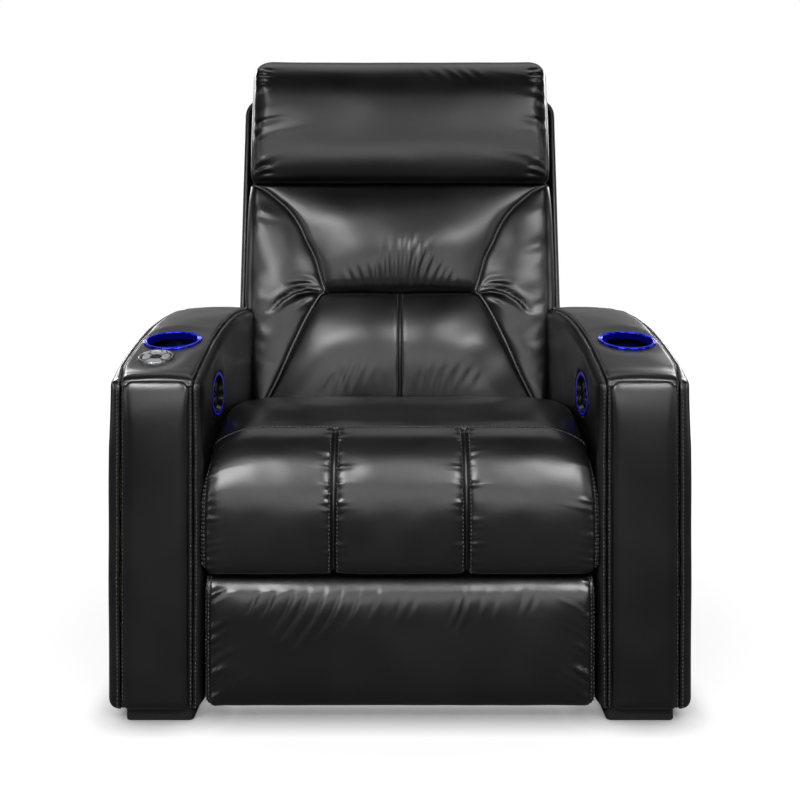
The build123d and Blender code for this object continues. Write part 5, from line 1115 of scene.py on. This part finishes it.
# Side bolsters, outside both seams. Each fold at the waist is a deep one with a weaker echo on its
# other side: its points, its width, its depth and its ridge's share.
WAIST_FOLDS = (([(276, 302), (254, 326), (226, 344), (196, 352), (164, 346)], 4.0, 8.5, 0.75),
               ([(240, 362), (220, 368), (194, 366), (170, 353)], 4.5, 3.0, 0.8),
               ([(228, 316), (204, 330), (176, 338)], 5.0, 2.0, 0.8))
inner_line = np.vstack([waist_seam, curve_seam[1:]])
outer_line = bend([(306, 64), (318, 120), (330, 230), (336, 330), (337, 440), (336, 540), (332, 586)])
for side, word in ((-1, "left"), (1, "right")):
    flat = back_grid([inner_line[0], outer_line[0]], outer_line, [inner_line[-1], outer_line[-1]],
                     inner_line, 140.0, 540.0, wide=34.0)
    x, u = flat[..., 0], flat[..., 1]
    edges = margins(flat)
    height = crown(edges, (13.0, 24.0, 10.0, 12.0), (5.5, 30.0, 6.0, 6.0), power=2.0)
    slim = ((edges[0] + edges[1]) / 170).clip(0, 1)
    height += 15.0 * between_seams(edges).clip(0, 1) ** 0.8 * slim
    for line, width, deep, rim in WAIST_FOLDS:
        height += crease(x, u, line, width, deep, ridge=rim)
        height += crease(x, u, line[::-1], width, 0.35 * deep, ridge=rim)
    height += gathers(u, edges[1] - 20, 19.0, 2.4, 40.0, 121 + side, slant=0.35) * ease(edges[1], 16.0, 40.0)
    height += gathers(u, edges[0] - 4, 7.0, 1.0, 7.0, 125 + side) * ease(edges[0], 3.0, 7.0)
    height += rumple(x, u, 110.0, 1.0, 123 + side) * ease(edges[0], 0.0, 30.0)
    bolster = lifted(back_point(side * x, -BOLSTER_CREST, u), height, BACK_OUT)
    fit(stuffed(f"back_bolster_leather_{word}", bolster, -50 * BACK_OUT), "back",
        [f"back_bolster_{word}"])
    back_rows += [row_at(bolster, "left", 6.0, BACK_OUT)]
    for name, line in (("curved", curve_seam), ("slanting", slant_seam)):
        ribbon(f"seam_ribbon_{name}_{word}", back_point(side * line[:, 0], -RIBBON_CREST, line[:, 1]))
sew("back_stitches", "back", back_rows, pitch=6.2)


# ---- Head cushion ------------------------------------------------------------------------------
# A long foam roll on a plywood board that tips forward about a rod. Its leather is gathered into
# the seam of each end, most of all at the corners; the board is covered where it shows behind.
HEAD_HALF, HEAD_LOW, HEAD_HIGH, HEAD_ROUND = 327.0, 586.0, 874.0, 44.0
s = shares(2 * HEAD_HALF, 6.0, fine=0.8, wide=50.0)
t = shares(HEAD_HIGH - HEAD_LOW, 4.0, fine=0.35, wide=60.0)
right = np.vstack([[(HEAD_HALF - 8, HEAD_LOW), (HEAD_HALF - 2, HEAD_LOW + 8), (HEAD_HALF, HEAD_LOW + 24)],
                   corner_arc(HEAD_HALF, HEAD_HIGH, HEAD_ROUND, 0, 0.5, 9)])
over = corner_arc(HEAD_HALF, HEAD_HIGH, HEAD_ROUND, 0.5, 1, 9)
high = np.vstack([over * (-1, 1), over[::-1]])
low = [(-HEAD_HALF + 8, HEAD_LOW), (HEAD_HALF - 8, HEAD_LOW)]
flat = patch(low, right, high, right * (-1, 1), s, t)
x, u = flat[..., 0], flat[..., 1]
edges = margins(flat)
height = crown(edges, (46.0, 46.0, 178.0, 110.0), (38.0, 38.0, 58.0, 70.0), power=2.1)
for away, seed in ((edges[0], 131), (edges[1], 132)):
    height += gathers(u, np.where(away > 8, away - 8, FAR), 13.0, 4.5, 52.0, seed, slant=-0.25)
    height -= 1.8 * np.exp(-(((away - 5.0) / 1.8) ** 2))
# Puckers at both ends, as points from the seam inwards and a depth, then the slanting folds on top.
END_FOLDS = (([(312, 844), (298, 838), (282, 836)], 3.0), ([(316, 826), (300, 822), (284, 822)], 3.2),
             ([(318, 808), (304, 804), (290, 804)], 2.6), ([(318, 606), (300, 616), (280, 620)], 2.8),
             ([(316, 596), (296, 602), (270, 604)], 2.4), ([(319, 622), (304, 634), (290, 640)], 2.2))
TOP_FOLDS = (([(92, 846), (120, 812), (150, 786)], 1.5), ([(116, 848), (142, 816), (168, 792)], 1.3),
             ([(64, 842), (90, 806), (116, 776)], 1.2), ([(146, 846), (166, 822), (186, 800)], 1.0),
             ([(38, 836), (58, 806), (80, 784)], 0.8))
for points, deep in END_FOLDS:
    height += crease(x, u, points, 4.2, deep) + crease(-x, u, points, 4.2, deep)
for points, deep in TOP_FOLDS:
    height += crease(x, u, points, 5.0, deep)
height += rumple(x, u, 160.0, 0.9, 133)
pillow = lifted(back_point(x, -HEAD_CREST, u), height, BACK_OUT)
fit(stuffed("head_leather", pillow, -70 * BACK_OUT), "head", ["head_cushion"])
dress(hide_black, "head_frame")
sew("head_stitches", "head", [row_at(pillow, edge, 2.6, BACK_OUT) for edge in ("left", "right")], pitch=6.2)


# ---- Tray shell --------------------------------------------------------------------------------
# Bent plywood with thin foam and leather: a rim that runs up one side, over the top and down the
# other, a crowned panel sewn in behind, and a flap that closes the back's lower end.
SHELL_LOW, SHELL_HIGH, SHELL_LIP, SHELL_SEAM = 90.0, 815.0, 112.0, 190.0
SHELL_FOOT, SHELL_HALF, SHELL_ROUND = 352.0, 358.0, 40.0   # half widths at the foot and above, corner radius
ARM_GAP = 8.0                           # how far the rim stays behind the arms' backs
outline = np.vstack([[(SHELL_FOOT, SHELL_LOW)], corner_arc(SHELL_HALF, SHELL_HIGH, SHELL_ROUND, 0, 1, 12)])
outline = np.vstack([outline * (-1, 1), outline[::-1]])
path = along(outline, int(steps(outline).sum() / 8))
lead = unit(np.gradient(path, axis=0))
outward = np.stack([-lead[:, 1], lead[:, 0]], -1)
# The rim's front edge clears the arms' backs, and the head cushion where it runs over the top.
behind = ARM_LENGTH + ARM_GAP - HINGE_DEPTH
front = np.maximum(-8.0, (behind - path[:, 1] * math.sin(LEAN)) / math.cos(LEAN))
over_head = ease(-np.abs(path[:, 0]), -332.0, -322.0) * ease(path[:, 1], 770.0, 790.0)
front = front + (26.0 - front) * over_head
# The rim's section, as distance outwards and backwards: its front edge is a half circle 14 mm wide
# that moves with the front line; its rear edge lies in one plane.
turn = np.linspace(math.pi, 0, 9)
rim = np.stack([-7.0 + 7.0 * np.cos(turn), -7.0 * np.sin(turn)], -1)
section = np.vstack([[(-14.0, 96.0), (-14.0, 60.0)], rim, [(0.0, 60.0), (0.0, 100.0), (-0.8, 106.0),
                                                         (-3.0, 110.0), (-7.0, SHELL_LIP)]])
place = path[:, None] + outward[:, None] * section[None, :, :1]
back = section[None, :, 1] + front[:, None] * (section[None, :, 1] < 30)
points = back_point(place[..., 0], np.minimum(back, SHELL_LIP), place[..., 1])
columns = len(section)
last = (len(path) - 1) * columns
caps = [list(range(columns))[::-1], list(range(last, last + columns))]
rim_leather = solid("shell_rim_leather", points, weave(len(path), columns, wrap=True) + caps)
fit(rim_leather, "back", ["back_shell"])

# The crowned rear panel, 6 mm inside the rim, with two upright seams.
inset = 6.0
s = shares(700.0, 9.0, fine=1.2, wide=30.0)
t = shares(720.0, 9.0, fine=1.2, wide=30.0)
bow = corner_arc(SHELL_HALF, SHELL_HIGH, SHELL_ROUND, 0, 0.5, 7) - inset * 0.8
over = corner_arc(SHELL_HALF, SHELL_HIGH, SHELL_ROUND, 0.5, 1, 7) - inset * 0.8
right = np.vstack([[(SHELL_FOOT - inset, SHELL_LOW)], bow])
high = np.vstack([over * (-1, 1), over[::-1]])
low = [(-SHELL_FOOT + inset, SHELL_LOW), (SHELL_FOOT - inset, SHELL_LOW)]
flat = patch(low, right, high, right * (-1, 1), s, t)
x, u = flat[..., 0], flat[..., 1]
edges = margins(flat)
height = crown(edges, (12.0, 12.0, 8.0, 12.0), (6.0, 6.0, 4.0, 6.0), power=2.4)
height += 12.0 * (1 - (x / 350.0) ** 2)
height += rumple(x, u, 180.0, 0.8, 141) * ease(np.minimum(edges[0], edges[1]), 0.0, 40.0)
height -= channel(x, (-SHELL_SEAM, SHELL_SEAM), 9.0, 2.6)
rear = lifted(back_point(x, SHELL_LIP + 2.0, u), height, -BACK_OUT)
fit(stuffed("shell_rear_leather", rear, 8 * BACK_OUT), "back", ["back_shell"])
rows = [row_at(rear, edge, 5.0, -BACK_OUT) for edge in ("left", "right", "high")]
for line_x in (-SHELL_SEAM, SHELL_SEAM):
    rows += [row_at(rear[:, x[0] > line_x + 1.5], "left", 5.0, -BACK_OUT),
             row_at(rear[:, x[0] < line_x - 1.5], "right", 5.0, -BACK_OUT)]
sew("shell_stitches", "back", rows)

# The flap below the rear panel.
x, u = np.meshgrid(np.linspace(-296, 296, 60), np.linspace(-20, 96, 24))
height = crown(margins(np.stack([x, u], -1)), (6.0, 6.0, 8.0, 1.0), (3.0, 3.0, 4.0, 0.0))
flap = lifted(back_point(x, SHELL_LIP, u), height, -BACK_OUT)
fit(stuffed("shell_flap_leather", flap, 10 * BACK_OUT), "back", ["back_shell"])
